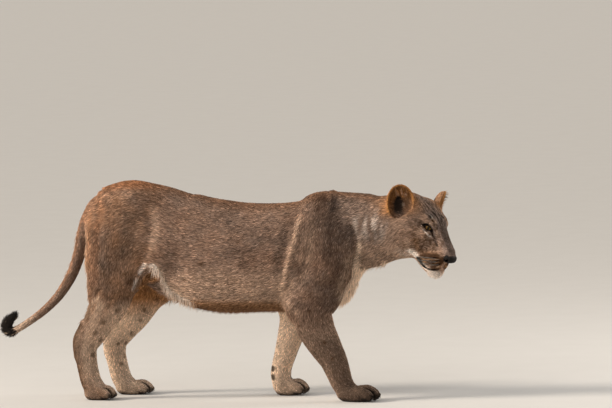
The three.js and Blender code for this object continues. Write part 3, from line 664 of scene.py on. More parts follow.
def cell_level(p):
    """How many times the cells at p are halved."""
    q = to_head(p)
    pair = mirrored(q)
    level = np.where((p[:, 2] < 330) | (p[:, 0] < -655), 1, 0)
    in_head = np.all((q > (-150, -140, -165)) & (q < (150, 140, 130)), axis=1)
    level = np.where(in_head, 1, level)
    level = np.where(in_head & (q[:, 0] > -25) & (np.abs(q[:, 1]) < 75), 2, level)
    for name, (_, _, size) in EARS.items():
        level = np.where(ellipsoid(ear_place(q, name), EAR_OUT) * size < 9, 2, level)
    fine = far(pair, EYE_AT) < 27
    mouth, _ = path_distance(pair, MOUTH, 3)
    fine |= mouth < 10
    return np.where(in_head & fine, FINEST, level)


def grid_of(counts):
    return np.stack(np.meshgrid(*[np.arange(n) for n in counts], indexing="ij"), -1).reshape(-1, 3)


def polygonize(shape, lo, hi, cell, level_of, finest):
    """Dual contouring of shape = 0 over cells that are halved where level_of asks. Returns points, and
    faces of four indices whose last repeats the first where the face is a triangle. A block or cell is
    kept where the distance at its middle says that the surface may pass through it."""
    whole = 1 << finest
    unit_size = cell / whole
    block = 4
    lo = np.asarray(lo, float)
    counts = (np.ceil((np.asarray(hi) - lo) / (cell * block)).astype(int)) * block
    blocks = grid_of(counts // block)
    reach = np.abs(shape(lo + (blocks + 0.5) * block * cell)) < block * cell * 1.3
    cells = (blocks[reach][:, None] * block + grid_of((block,) * 3)).reshape(-1, 3)
    centres = lo + (cells + 0.5) * cell
    keep = np.abs(shape(centres)) < cell * 1.6
    cells, centres = cells[keep], centres[keep]
    levels = np.zeros(counts + 2, np.int8)
    want = np.minimum(level_of(centres), finest)
    levels[tuple(cells.T)] = want
    corners = cells * whole
    edges = []
    for level in range(finest + 1):
        size = whole >> level
        done = want == level
        for axis in range(3):
            u, v = (axis + 1) % 3, (axis + 2) % 3
            for du, dv in itertools.product((0, size), repeat=2):
                start = corners[done].copy()
                start[:, u] += du
                start[:, v] += dv
                edges.append(np.column_stack([start, np.full((len(start), 2), (axis, level))]))
        if level == finest:
            break
        parents, want = corners[~done], want[~done]
        half = size // 2
        corners = (parents[:, None] + grid_of((2, 2, 2)) * half).reshape(-1, 3)
        want = np.repeat(want, 8)
        near = np.abs(shape(lo + (corners + half / 2) * unit_size)) < half * unit_size * 1.7
        corners, want = corners[near], want[near]
    span = counts * whole + 2
    code = lambda c: (c[:, 0] * span[1] + c[:, 1]) * span[2] + c[:, 2]
    edges = np.vstack(edges)
    edges = edges[np.all(edges[:, :3] > 0, axis=1)]
    _, first = np.unique((code(edges) * 3 + edges[:, 3]) * 8 + edges[:, 4], return_index=True)
    edges = edges[first]

    def around(edges):
        """The four finest cells round each edge, in turn."""
        axis = edges[:, 3]
        u, v = (axis + 1) % 3, (axis + 2) % 3
        rows = np.arange(len(edges))
        out = []
        for du, dv in ((-1, -1), (0, -1), (0, 0), (-1, 0)):
            c = edges[:, :3].copy()
            c[rows, u] += du
            c[rows, v] += dv
            out.append(c)
        return out

    rings = around(edges)
    finer = np.max([levels[tuple((c // whole).T)] for c in rings], axis=0)
    edges = edges[finer <= edges[:, 4]]
    sizes = whole >> edges[:, 4]
    ends = edges[:, :3].copy()
    ends[np.arange(len(edges)), edges[:, 3]] += sizes
    both = np.vstack([edges[:, :3], ends])
    _, first, back = np.unique(code(both), return_index=True, return_inverse=True)
    values = shape(lo + both[first] * unit_size)[back.ravel()]
    a, b = values[: len(edges)], values[len(edges) :]
    cross = (a < 0) != (b < 0)
    edges, ends, sizes, a, b = edges[cross], ends[cross], sizes[cross], a[cross], b[cross]
    t = (a / (a - b))[:, None]
    spots = edges[:, :3] * (1 - t) + ends * t
    keys = []
    for c in around(edges):
        size = whole >> levels[tuple((c // whole).T)].astype(int)
        keys.append(code(c // size[:, None] * size[:, None]))
    keys = np.stack(keys, 1)
    names, index = np.unique(keys.ravel(), return_inverse=True)
    faces = index.reshape(-1, 4)
    points = np.zeros((len(names), 3))
    count = np.bincount(faces.ravel(), minlength=len(names))
    for k in range(3):
        points[:, k] = np.bincount(faces.ravel(), np.repeat(spots[:, k], 4), len(names)) / count
    widths = np.zeros(len(names))
    np.maximum.at(widths, faces.ravel(), np.repeat(sizes, 4))
    faces = np.where((a < 0)[:, None], faces, faces[:, ::-1])
    same = faces == np.roll(faces, -1, axis=1)
    faces = faces[same.sum(1) < 2]
    same = faces == np.roll(faces, -1, axis=1)
    turns = np.where(same.any(1), np.argmax(same, 1) + 1, 0)
    faces = np.take_along_axis(faces, (np.arange(4) + turns[:, None]) % 4, 1)
    return lo + points * unit_size, faces, widths * unit_size


def gradient(shape, p, h=0.3):
    here = shape(p)
    g = np.stack([shape(p + h * e) - here for e in np.eye(3)], 1) / h
    return here, g


def onto(shape, points, widths):
    """Moves points to shape = 0, by no more than half a cell at a time; returns them and the normals."""
    value, g = gradient(shape, points)
    size = np.maximum((g * g).sum(1), 0.05)
    limit = 0.45 * widths
    points = points - g * np.clip(value / size, -limit, limit)[:, None]
    value = shape(points)
    points = points - g * np.clip(value / size, -limit, limit)[:, None]
    return points, unit(g)


def neighbours(faces, count):
    """Each mesh edge once, as two index arrays, and how many neighbours each point has."""
    pairs = np.vstack([faces[:, [i, (i + 1) % 4]] for i in range(4)])
    pairs = np.unique(np.sort(pairs[pairs[:, 0] != pairs[:, 1]], 1), axis=0)
    return pairs[:, 0], pairs[:, 1], np.bincount(pairs.ravel(), minlength=count)


def relaxed(points, normals, a, b, degree, amount=0.5):
    """Slides points along the surface towards the middle of their neighbours."""
    mean = np.zeros_like(points)
    for k in range(3):
        mean[:, k] = np.bincount(a, points[b, k], len(points)) + np.bincount(b, points[a, k], len(points))
    move = mean / degree[:, None] - points
    move -= (move * normals).sum(1)[:, None] * normals
    return points + move * amount


def surface(shape, lo, hi, cell, level_of=lambda p: np.zeros(len(p), int), finest=0, rounds=2):
    points, faces, widths = polygonize(shape, lo, hi, cell, level_of, finest)
    a, b, degree = neighbours(faces, len(points))
    points, normals = onto(shape, points, widths)
    for _ in range(rounds):
        points = relaxed(points, normals, a, b, degree)
        points, normals = onto(shape, points, widths)
    return points, faces, normals


# ---------------------------------------------------------------------------------- regions of the coat


class Region:
    """A stretch of the body: its distance, the way its hair lies and its place on an unwrap."""

    def __init__(self, name, depth, length, width, density):
        self.name = name
        self.coat = np.array([depth, length, width, density])


class LimbRegion(Region):
    def __init__(self, name, limb, towards, *coat, lean=(0, 0, 0), start=0.0, stop=1.0):
        super().__init__(name, *coat)
        self.limb, self.towards, self.lean = limb, towards, np.array(lean, float)
        self.start, self.stop = start, stop

    def distance(self, p):
        d = np.full(len(p), 400.0)
        near = np.all((p > self.limb.lo - 60) & (p < self.limb.hi + 60), axis=1)
        if near.any():
            run = self.limb.run_at(p[near])
            off = np.maximum(self.start - run, run - self.stop) * self.limb.total
            d[near] = np.maximum(self.limb(p[near]), 0) + np.maximum(off, 0)
        return d

    def lie(self, p, _):
        span, along = self.limb.closest(p)
        return self.limb.at(self.limb.tangent, span, along) * self.towards + self.lean

    def unwrap(self, p, _):
        span, along = self.limb.closest(p)
        run = self.limb.at(self.limb.run, span, along)
        w, v, n = self.limb.section(p, span, along)
        ends = np.where((span == 0) & (along <= 0), w, np.where(along >= 1, w, 0)) / self.limb.total
        around = np.arctan2(v, n) / (2 * np.pi) + 0.5
        return np.column_stack([np.clip(run + ends, -0.2, 1.2) / 1.4 + 1 / 7, around])


class PawRegion(Region):
    def __init__(self, name, paw, *coat):
        super().__init__(name, *coat)
        self.paw = paw

    def place(self, p):
        return (p - self.paw.origin) @ self.paw.turn / self.paw.size

    def distance(self, p):
        q = self.place(p)
        beyond = np.maximum(np.abs(q - (0.42, 0, 0.4)) - (0.5, 0.5, 0.5), 0)
        return np.linalg.norm(beyond * self.paw.size, axis=1)

    def lie(self, p, _):
        return np.broadcast_to(self.paw.turn @ (0.9, 0, -0.45), p.shape)

    def unwrap(self, p, _):
        q = self.place(p)
        around = np.arctan2(q[:, 1], q[:, 2] - 0.35) / (2 * np.pi) + 0.5
        return np.column_stack([np.clip(q[:, 0] * 0.8 + 0.1, 0, 1), around])


class HeadRegion(Region):
    def distance(self, p):
        q = to_head(p)
        return np.maximum(head_field(q) * HEAD_SCALE, 0) + 1.5 * np.maximum(-90 - q[:, 0], 0)

    def lie(self, p, _):
        q = to_head(p)
        side = np.sign(q[:, 1])
        low = step(10, -90, q[:, 2])
        eye = mirrored(q) - EYE_AT
        near_eye = np.exp(-((np.linalg.norm(eye, axis=1) / 34) ** 2))
        v = np.zeros((len(p), 3))
        v[:, 0] = -1
        v[:, 1] = side * (0.25 + 0.2 * near_eye)
        v[:, 2] = 0.15 - 0.75 * low + near_eye * np.clip(eye[:, 2] / 12, -1, 1) * 0.9
        chin = np.exp(-((far(q, (80, 0, -135)) / 34) ** 2))
        v += chin[:, None] * (0.2, 0, -0.7)
        return v @ HEAD_TURN.T

    def unwrap(self, p, _):
        q = to_head(p)
        around = np.arctan2(q[:, 1], q[:, 2] + 45) / (2 * np.pi) + 0.5
        return np.column_stack([np.clip((q[:, 0] + 200) / 350, 0, 1), around])


class EarRegion(Region):
    def __init__(self, name, side, *coat):
        super().__init__(name, *coat)
        self.side = side

    def distance(self, p):
        q = to_head(p)
        e = ear_place(q, self.side)
        low = np.maximum(-26 - e[:, 2], 0)
        return (np.maximum(ellipsoid(e, EAR_OUT), 0) * 0.7 + low) * EARS[self.side][2] * HEAD_SCALE

    def lie(self, p, normals):
        _, axes, _ = EARS[self.side]
        e = ear_place(to_head(p), self.side)
        up = axes[:, 2] + axes[:, 1] * np.clip(e[:, 1:2] / 45, -1, 1) * 0.6
        inside = step(-0.1, 0.4, ear_facing(normals, self.side))
        return (up + inside[:, None] * axes[:, 0] * 0.5) @ HEAD_TURN.T

    def unwrap(self, p, normals):
        e = ear_place(to_head(p), self.side)
        inside = ear_facing(normals, self.side) > 0.1
        v = (np.clip(e[:, 2] / 130 + 0.5, 0, 1) + inside) / 2
        return np.column_stack([np.clip(e[:, 1] / 96 + 0.5, 0, 1), v])


# name, what it follows, then the coat's depth, hair length and width in mm, and tufts to a square cm
regions = [
    LimbRegion("rump", trunk, -1, 4.6, 17, 2.6, 9.5, lean=(-0.1, 0, -0.25), stop=0.42),
    LimbRegion("barrel", trunk, -1, 4.8, 17, 2.6, 9.5, lean=(0, 0, -0.25), start=0.42, stop=0.85),
    LimbRegion("neck", neck, -1, 5.2, 19, 2.7, 10, lean=(0, 0, -0.45), start=0.15),
    LimbRegion("shoulder_right", blades["right"], 1, 4.4, 15, 2.4, 10, lean=(-0.35, 0, 0)),
    LimbRegion("shoulder_left", blades["left"], 1, 4.4, 15, 2.4, 10, lean=(-0.35, 0, 0)),
    LimbRegion("tail", tail, 1, 3.4, 13, 2.2, 15, start=0.06),
    HeadRegion("head", 2.2, 7.5, 1.6, 22),
    EarRegion("ear_right", "right", 1.3, 8, 1.5, 20),
    EarRegion("ear_left", "left", 1.3, 8, 1.5, 20),
]
for name, limb in legs.items():
    regions.append(LimbRegion(name + "_upper", limb, 1, 4.2, 14, 2.3, 10, lean=(-0.1, 0, 0), stop=0.42))
    regions.append(LimbRegion(name + "_lower", limb, 1, 2.8, 10, 1.9, 14, start=0.42, stop=0.92))
    regions.append(PawRegion(name + "_paw", paws[name], 2.2, 8, 1.8, 18))


def region_weights(p, reach=16.0):
    d = np.stack([r.distance(p) for r in regions], 1)
    d -= d.min(1)[:, None]
    w = np.exp(-d / reach)
    return w / w.sum(1)[:, None]


def lie_of_coat(p, normals, weights):
    """The way the hair points at each place, along the surface."""
    total = np.zeros_like(p)
    for k, region in enumerate(regions):
        use = weights[:, k] > 0.01
        if use.any():
            total[use] += weights[use, k, None] * unit(region.lie(p[use], normals[use]))
    for axis in range(3):
        total[:, axis] += 0.13 * noise(p, 70, 5 + axis)
    total -= (total * normals).sum(1)[:, None] * normals
    return unit(total)


# ---------------------------------------------------------------------------------- markings, with painted light and shade

TONES = {  # linear colours
    "flank": (0.230, 0.138, 0.094),
    "back": (0.285, 0.120, 0.054),
    "grey": (0.200, 0.140, 0.109),
    "thigh": (0.280, 0.150, 0.083),
    "neck": (0.195, 0.136, 0.106),
    "cream": (0.660, 0.490, 0.360),
    "white": (0.700, 0.610, 0.540),
    "rust": (0.400, 0.185, 0.070),
    "face": (0.400, 0.258, 0.180),
    "forehead": (0.150, 0.100, 0.072),
    "crown": (0.290, 0.215, 0.180),
    "lit": (0.860, 0.630, 0.460),
    "ginger": (0.400, 0.215, 0.105),
    "earth": (0.190, 0.085, 0.030),
    "brown": (0.105, 0.052, 0.026),
    "black": (0.009, 0.007, 0.006),
    "pad": (0.050, 0.038, 0.034),
    "tan": (0.430, 0.290, 0.205),
    "bridge": (0.180, 0.128, 0.102),
    "lip": (0.105, 0.048, 0.021),
    "row": (0.032, 0.016, 0.010),
}
TONES = {name: np.array(rgb) for name, rgb in TONES.items()}


# The body's marks, laid on the right side and mirrored: tone, strength, radius, softness and path. Some are
# painted light and shade: highlights on muscle ridges and lit edges, shade in creases and over the haunch.
BODY_MARKS_AND_SHADING = [
    # painted light: pale lines down the hind legs' inner edges, pale fur brightened as if lit from behind
    ("lit", 0.90, 22, 0.7, (-560, -61, 370), (-612, -64, 291), (-644, -63, 248), (-658, -64, 211)),
    ("lit", 0.90, 20, 0.7, (-654, -64, 225), (-650, -66, 162), (-636, -66, 100), (-621, -65, 45)),
    # painted highlight on the near hind leg between knee and hock
    ("cream", 0.60, 16, 0.8, (-566, -147, 473), (-612, -130, 420), (-620, -132, 377), (-619, -134, 335)),
    ("brown", 0.50, 30, 0.9, (-575, -134, 310), (-546, -137, 347), (-504, -131, 371), (-478, -133, 405)),
    ("brown", 0.95, 26, 0.8, (-684, -117, 330), (-692, -119, 230), (-687, -115, 174), (-672, -115, 115)),
    ("black", 0.55, 16, 0.9, (-684, -112, 290), (-694, -112, 230), (-690, -110, 180)),
    ("cream", 0.85, 18, 0.8, (-600, -108, 250), (-602, -97, 178), (-597, -101, 130), (-580, -98, 85)),
    ("cream", 0.60, 34, 0.9, (-545, -141, 470), (-610, -136, 332), (-631, -130, 266),
     (-647, -125, 200), (-628, -124, 60)),
    ("forehead", 0.80, 26, 0.8, (-668, -112, 470), (-684, -120, 330), (-690, -120, 265),
     (-694, -114, 177), (-684, -110, 60)),
    # painted muscle shading: a highlight along the shoulder blade's ridge, painted shade in front of it and
    # behind it
    ("tan", 0.55, 26, 0.9, (323, -69, 845), (297, -108, 717), (276, -120, 623), (252, -122, 524),
     (240, -113, 440)),
    ("forehead", 0.55, 40, 0.9, (384, -96, 830), (366, -127, 690), (340, -134, 568), (322, -134, 500)),
    ("forehead", 0.35, 34, 0.9, (262, -90, 800), (236, -118, 680), (216, -124, 560)),
    # painted shade in the crease down the side of the neck
    ("brown", 0.30, 22, 0.9, (546, -84, 800), (558, -82, 680), (557, -84, 619), (533, -100, 540)),
    ("cream", 0.85, 21, 0.8, (582, -88, 700), (576, -86, 660), (548, -62, 561), (512, -100, 479),
     (484, -120, 430)),
    # painted shade over the middle of the haunch
    ("forehead", 0.50, 80, 0.9, (-410, -98, 830), (-440, -118, 730), (-450, -135, 620)),
    # painted light on the shaded front of the shoulder
    ("tan", 0.85, 34, 0.9, (530, -104, 640), (522, -114, 575), (508, -124, 524), (488, -128, 450)),
    ("tan", 0.30, 80, 0.9, (330, -120, 760), (330, -140, 600)),
    # painted highlight along the haunch's front
    ("tan", 0.40, 30, 0.9, (-330, -90, 860), (-316, -101, 742), (-330, -111, 640)),
    ("back", 0.30, 34, 0.9, (-560, -77, 880), (-590, -130, 659), (-590, -140, 486)),
    # painted shade in a crease of the near hind leg
    ("brown", 0.45, 14, 0.8, (-575, -142, 500), (-592, -140, 455), (-628, -131, 354), (-612, -131, 279)),
    # painted highlight on the ridge behind the elbow, then painted shade in the crease above it
    ("tan", 0.50, 20, 0.8, (262, -130, 440), (292, -140, 410), (330, -146, 380)),
    ("brown", 0.40, 12, 0.8, (246, -124, 470), (300, -140, 478), (352, -150, 452)),
]
# Marks that aren't mirrored, because the two groins differ; they include painted shade in the right groin's
# hollow.
GROIN_MARKS_AND_SHADE = [
    ("cream", 0.35, 40, 0.9, (-348, -122, 590), (-310, -108, 566), (-296, -92, 520), (-268, -82, 480),
     (-170, -76, 424)),
    # painted shade in the right groin's hollow, in rust and brown
    ("rust", 0.80, 36, 0.6, (-400, -96, 480), (-372, -88, 520), (-344, -80, 540), (-326, -72, 505)),
    ("brown", 0.85, 24, 0.8, (-372, -90, 530), (-350, -86, 545), (-334, -78, 536)),
    ("white", 0.80, 15, 0.8, (-358, -122, 600), (-376, -126, 578), (-392, -129, 556)),
    ("white", 0.70, 12, 0.8, (-396, -132, 546), (-412, -134, 515), (-424, -129, 480)),
    ("white", 0.75, 16, 0.8, (-350, -122, 590), (-322, -117, 582), (-308, -102, 552), (-294, -92, 517)),
    ("white", 0.75, 16, 0.8, (-300, -96, 532), (-284, -90, 500), (-264, -84, 472), (-219, -76, 439),
     (-167, -76, 424)),
    ("cream", 0.60, 18, 0.8, (-330, 100, 430), (-290, 92, 440), (-240, 84, 432), (-180, 78, 415)),
]
# The fringe between flank and thigh, on the left and on the right.
LEFT_GROIN = [(-330, 100, 430), (-290, 92, 440), (-240, 84, 432), (-180, 78, 415)]
GROIN = [(-330, -119, 586), (-312, -106, 562), (-298, -94, 526), (-268, -84, 476)]
GROIN += [(-219, -74, 438), (-167, -76, 422)]
# The dark spots of legs and flank: x, y, z and radius.
SPOTS = [
    (-191, -114, 525, 11), (-112, -125, 600, 12), (-434, -141, 524, 14), (-456, -141, 560, 10),
    (-493, -134, 397, 13), (-556, -139, 346, 12), (-572, -116, 265, 12), (-598, -133, 297, 10),
    (-610, -120, 200, 11), (-470, -136, 340, 10), (-360, 51, 428, 14), (-400, 60, 480, 13),
    (-420, 58, 380, 12), (-481, 72, 272, 12), (-519, 80, 178, 10), (-545, 72, 230, 10),
    (-440, 66, 330, 9), (-536, 70, 140, 9), (-500, 62, 220, 8), (-380, 140, 500, 14),
    (-430, 142, 420, 12), (-520, 128, 300, 11), (-560, 118, 220, 10), (300, -146, 330, 9),
    (420, -136, 260, 9), (452, -132, 190, 8), (360, -144, 400, 10), (230, 140, 330, 9),
    (204, 134, 240, 9),
]


MIDDLE_TONE = 0.19  # tones darker than this are deepened, paler ones raised
# The head's marks, for its left side: tone, strength, radius and softness, then a spot's middle or the
# points of a line.
HEAD_MARKS = [
    ("grey", 0.55, 52, 0.9, (-22, 80, 26)),
    ("tan", 0.75, 62, 0.9, (-32, 88, -92)),
    ("brown", 0.42, 22, 0.9, (22, 70, -38)),
    ("ginger", 0.55, 18, 0.9, (10, 78, -44), (25, 62, -70)),
    ("tan", 0.65, 24, 0.9, (-6, 90, -63), (8, 74, -84)),
    ("forehead", 0.6, 22, 0.9, (40, 54, -26)),
    ("rust", 0.40, 15, 0.9, (34, 52, -74), (60, 46, -72), (88, 38, -61)),
    ("tan", 0.6, 8, 0.7, (37, 36, 22), (50, 33, 9), (60, 31, -3)),
    ("bridge", 0.85, 22, 0.5, (34, 0, 30), (80, 0, -4), (126, 0, -34)),
    ("rust", 0.15, 9, 0.8, (60, 33, -10), (84, 31, -29), (100, 30, -42)),
    ("lip", 0.95, 27, 0.4, (103, 30, -76), (76, 46, -87), (57, 52, -99)),
    ("tan", 0.55, 8, 0.6, (104, 28, -60)),
    ("lip", 0.80, 15, 0.5, (112, 18, -88), (108, 20, -104), (96, 32, -108)),
    ("ginger", 0.75, 6, 0.7, (115, 9, -84), (110, 14, -97), (104, 24, -102)),
    ("ginger", 0.85, 3.4, 0.6, (103, 33, -74), (79, 47, -86), (55, 55, -97)),
    ("ginger", 0.85, 3.4, 0.6, (108, 29, -83), (84, 44, -95), (60, 54, -105)),
    ("cream", 0.65, 3.4, 0.8, (114, 18, -93), (96, 34, -105), (74, 48, -113)),
    ("row", 0.95, 3.6, 0.5, (100, 34, -69), (78, 46, -80), (56, 53, -91)),
    ("row", 0.95, 3.6, 0.5, (106, 31, -78), (81, 46, -91), (56, 55, -102)),
    ("row", 0.95, 3.6, 0.5, (111, 23, -88), (92, 39, -100), (68, 51, -109)),
    ("row", 0.85, 3.0, 0.5, (115, 4, -94), (110, 16, -103), (98, 31, -109)),
    ("white", 0.90, 24, 0.5, (104, 12, -134), (84, 34, -132), (60, 42, -127)),
    ("white", 0.90, 20, 0.6, (84, 0, -152), (50, 0, -150)),
    ("white", 1.0, 17, 0.5, (24, 59, -101), (8, 67, -92)),
    ("white", 0.55, 14, 0.8, (-4, 75, -93)),
    ("cream", 0.60, 60, 0.8, (-40, 30, -128)),
    ("black", 0.90, 4.4, 0.6, (37, 39, 8), (27, 45, 16), (14, 53, 18), (1, 60, 11)),
    ("black", 1.00, 7.0, 0.5, *TEAR[:2]),
    ("black", 0.90, 6.0, 0.6, *TEAR[1:]),
    ("black", 0.95, 4.6, 0.5, (33, 43, 25), (26, 46, 24), (16, 50, 20), (8, 54, 18), (1, 61, 12)),
    ("tan", 0.70, 4.6, 0.6, (19, 26, 44), (35, 32, 32), (43, 31, 17), (53, 30, 4)),
    ("forehead", 0.60, 26, 0.9, (54, 40, -38), (78, 38, -44)),
    ("white", 0.98, 3.8, 0.5, (3, 62, 6), (12, 61, 1), (24, 59, -5), (35, 53, -10), (46, 45, -15)),
    ("black", 0.80, 3.8, 0.8, (44, 8, 24), (8, 11, 48), (-26, 14, 60), (-64, 16, 68)),
    ("black", 0.70, 3.6, 0.8, (30, 24, 36), (0, 29, 48), (-32, 34, 56), (-60, 36, 58)),
]


# The marks over each eye, laid on in the same way, but each point is a spot of its own.
BROW_MARKS = [
    ("tan", 0.80, 14, 0.5, (24, 39.5, 40), (30, 41, 31)),
    ("rust", 0.70, 9, 0.5, (24.5, 39.5, 40)),
    ("brown", 0.98, 6.5, 0.4, (24.5, 39.5, 39)),
]


def near_side(p):
    """Points with the left side laid over the right, moved back along with the left legs."""
    x, y, z = p.T
    return np.column_stack([np.where(y > 0, np.where(x > 0, x + 45, x - 60), x), -np.abs(y), z])


class Coats:
    """The colours of points, with one tone after another painted over them."""

    def __init__(self, tone, count):
        self.colour = np.tile(TONES[tone], (count, 1))

    def paint(self, tone, w):
        self.colour = mix(self.colour, TONES[tone], np.clip(w, 0, 1)[:, None])


LEAST_SHARE = 0.004  # a region that has less of a point than this leaves its colour alone


def own_points(paint_part):
    """Lets a function that paints a part of the body see only the points that have a share in it."""

    def part(colour, q, normals, share, *rest):
        mine = share > LEAST_SHARE
        out = colour.copy()
        if mine.any():
            out[mine] = paint_part(colour[mine], q[mine], normals[mine], share[mine], *rest)
        return out

    return part


@own_points
def head_markings(colour, q, normals, share):
    """Colour with the head's own markings over it, as far as the point is the head's."""
    pair = mirrored(q)
    f, l, u = pair.T
    coats = Coats("face", len(q))
    paint = coats.paint
    crown = step(-10, 25, u + 0.55 * f) * step(60, 40, l) * step(-150, -80, f)
    paint("crown", 0.8 * crown)
    paint("flank", 0.6 * step(40, -50, f) * step(10, -60, u))
    for tone, strength, radius, soft, *points in HEAD_MARKS:
        if len(points) == 1:
            gap = far(pair, points[0])
        else:
            gap, _ = path_distance(pair, points, 4)
        paint(tone, strength * step(1, 1 - soft, gap / radius))
    drawn = q * (0.16, 1.0, 0.7)
    streaks = 0.6 * noise(drawn, 4.6, 11) + 0.4 * noise(drawn, 2.4, 12)
    crown *= step(52, 20, f)
    paint("black", crown * 0.8 * step(0.08, 0.4, streaks))
    paint("tan", crown * 0.6 * step(-0.12, -0.45, streaks))
    for tone, strength, radius, soft, *points in BROW_MARKS:
        gap = np.min([far(pair, spot) for spot in points], axis=0)
        paint(tone, strength * step(1, 1 - soft, gap / radius))
    speckle = noise(q, 5.5, 13) * step(100, 60, far(pair, (30, 60, -45)))
    speckle *= step(20, 30, far(pair, (16, 63, -97)))
    paint("brown", 0.65 * step(0.02, 0.25, speckle))
    opening, e = eye_opening(pair)
    rim = np.where(e[:, 2] > 0, opening, 99)
    paint("black", step(4.2, 2.8, rim))
    mouth, _ = path_distance(pair, MOUTH)
    paint("brown", 0.9 * step(7.5, 4.5, mouth))
    paint("black", step(5.2, 3.8, mouth))
    corner, _ = path_distance(pair, MOUTH_CORNER)
    paint("black", 0.97 * step(12, 9, corner))
    paint("black", 0.8 * step(4, 2, np.abs(l)) * step(10, 5, np.abs(u + 86)) * (f > 95))
    paint("bridge", 0.5 * step(30, 18, far(pair, (118, 0, -48))) * step(100, 112, f))
    return mix(colour, coats.colour, np.minimum(1.5 * share, 1)[:, None])


@own_points
def ear_markings_and_shading(colour, q, normals, share, name):
    """Colour with one ear's markings: rust and dark behind, paler hair in front, painted shade darkening the
    hollow and a painted highlight along the rim.
    """
    e = ear_place(q, name)
    inward, facing = ear_inward(e, name), ear_facing(normals, name)
    rim, depth = ellipsoid(e, EAR_OUT), ear_hollow(e)
    coats = Coats("rust", len(q))
    paint = coats.paint
    behind = step(-0.1, -0.5, facing)
    paint("face", behind * 0.5)
    paint("black", 0.9 * behind * step(34, 16, np.abs(e[:, 2] + 4)) * step(28, 14, np.abs(inward + 12)))
    inside = step(10, 5, depth) * step(-0.2, 0.1, facing)
    # painted shade: the hollow darkened to earth brown
    paint("earth", inside * 0.95)
    drawn = e * (0.3, 1.0, 0.22)
    streaks = 0.6 * noise(drawn, 3.6, 14) + 0.4 * noise(drawn, 2.0, 15)
    hairy = inside * step(-12, 4, inward + 0.3 * e[:, 2])
    paint("rust", hairy * 0.8 * step(-0.1, 0.25, streaks))
    paint("tan", hairy * 0.6 * step(0.25, 0.5, streaks))
    low = inside * step(-20, -38, e[:, 2])
    paint("tan", low * 0.7 * step(-0.3, 0.3, streaks))
    # painted shade: the middle of the hollow darkest, in brown and black
    paint("brown", inside * 0.9 * step(1.05, 0.6, np.hypot((inward + 4) / 19, (e[:, 2] + 12) / 34)))
    paint("black", inside * step(1.1, 0.8, np.hypot((inward + 5) / 16, (e[:, 2] + 12) / 31)))
    paint("cream", inside * 0.9 * step(1.1, 0.6, np.hypot((inward - 11) / 4, (e[:, 2] + 12) / 12)))
    band = inside * step(0.80, 0.95, np.hypot(e[:, 1] / EAR_IN[1], (e[:, 2] - EAR_SHIFT[2]) / EAR_IN[2]))
    paint("rust", band * 0.95)
    # painted highlight: the rim's edge painted a brighter rust, as if lit from behind
    edge = step(5, 2, np.abs(rim)) * step(5, 2, np.abs(depth))
    rim_highlighted = mix(coats.colour, TONES["rust"] * (1.5, 1.5, 1.3), (edge * 0.9)[:, None])
    return mix(colour, rim_highlighted, np.minimum(1.7 * share, 1)[:, None])


MARK_REACH = 12  # beyond its radius, how far from its points a mark's curve is followed
SPOT_SPREAD = 1.5  # how far a spot fades out, to its radius
CARPAL_PADS = [  # centre and half sizes of the black pads behind the wrists
    ((142, 72, 124), (19, 22, 19)),
    ((144, 68, 86), (17, 20, 18)),
    ((418, -98, 140), (20, 18, 14)),
]
PALEST, DARKEST = 0.85, 0.003  # no colour goes beyond these


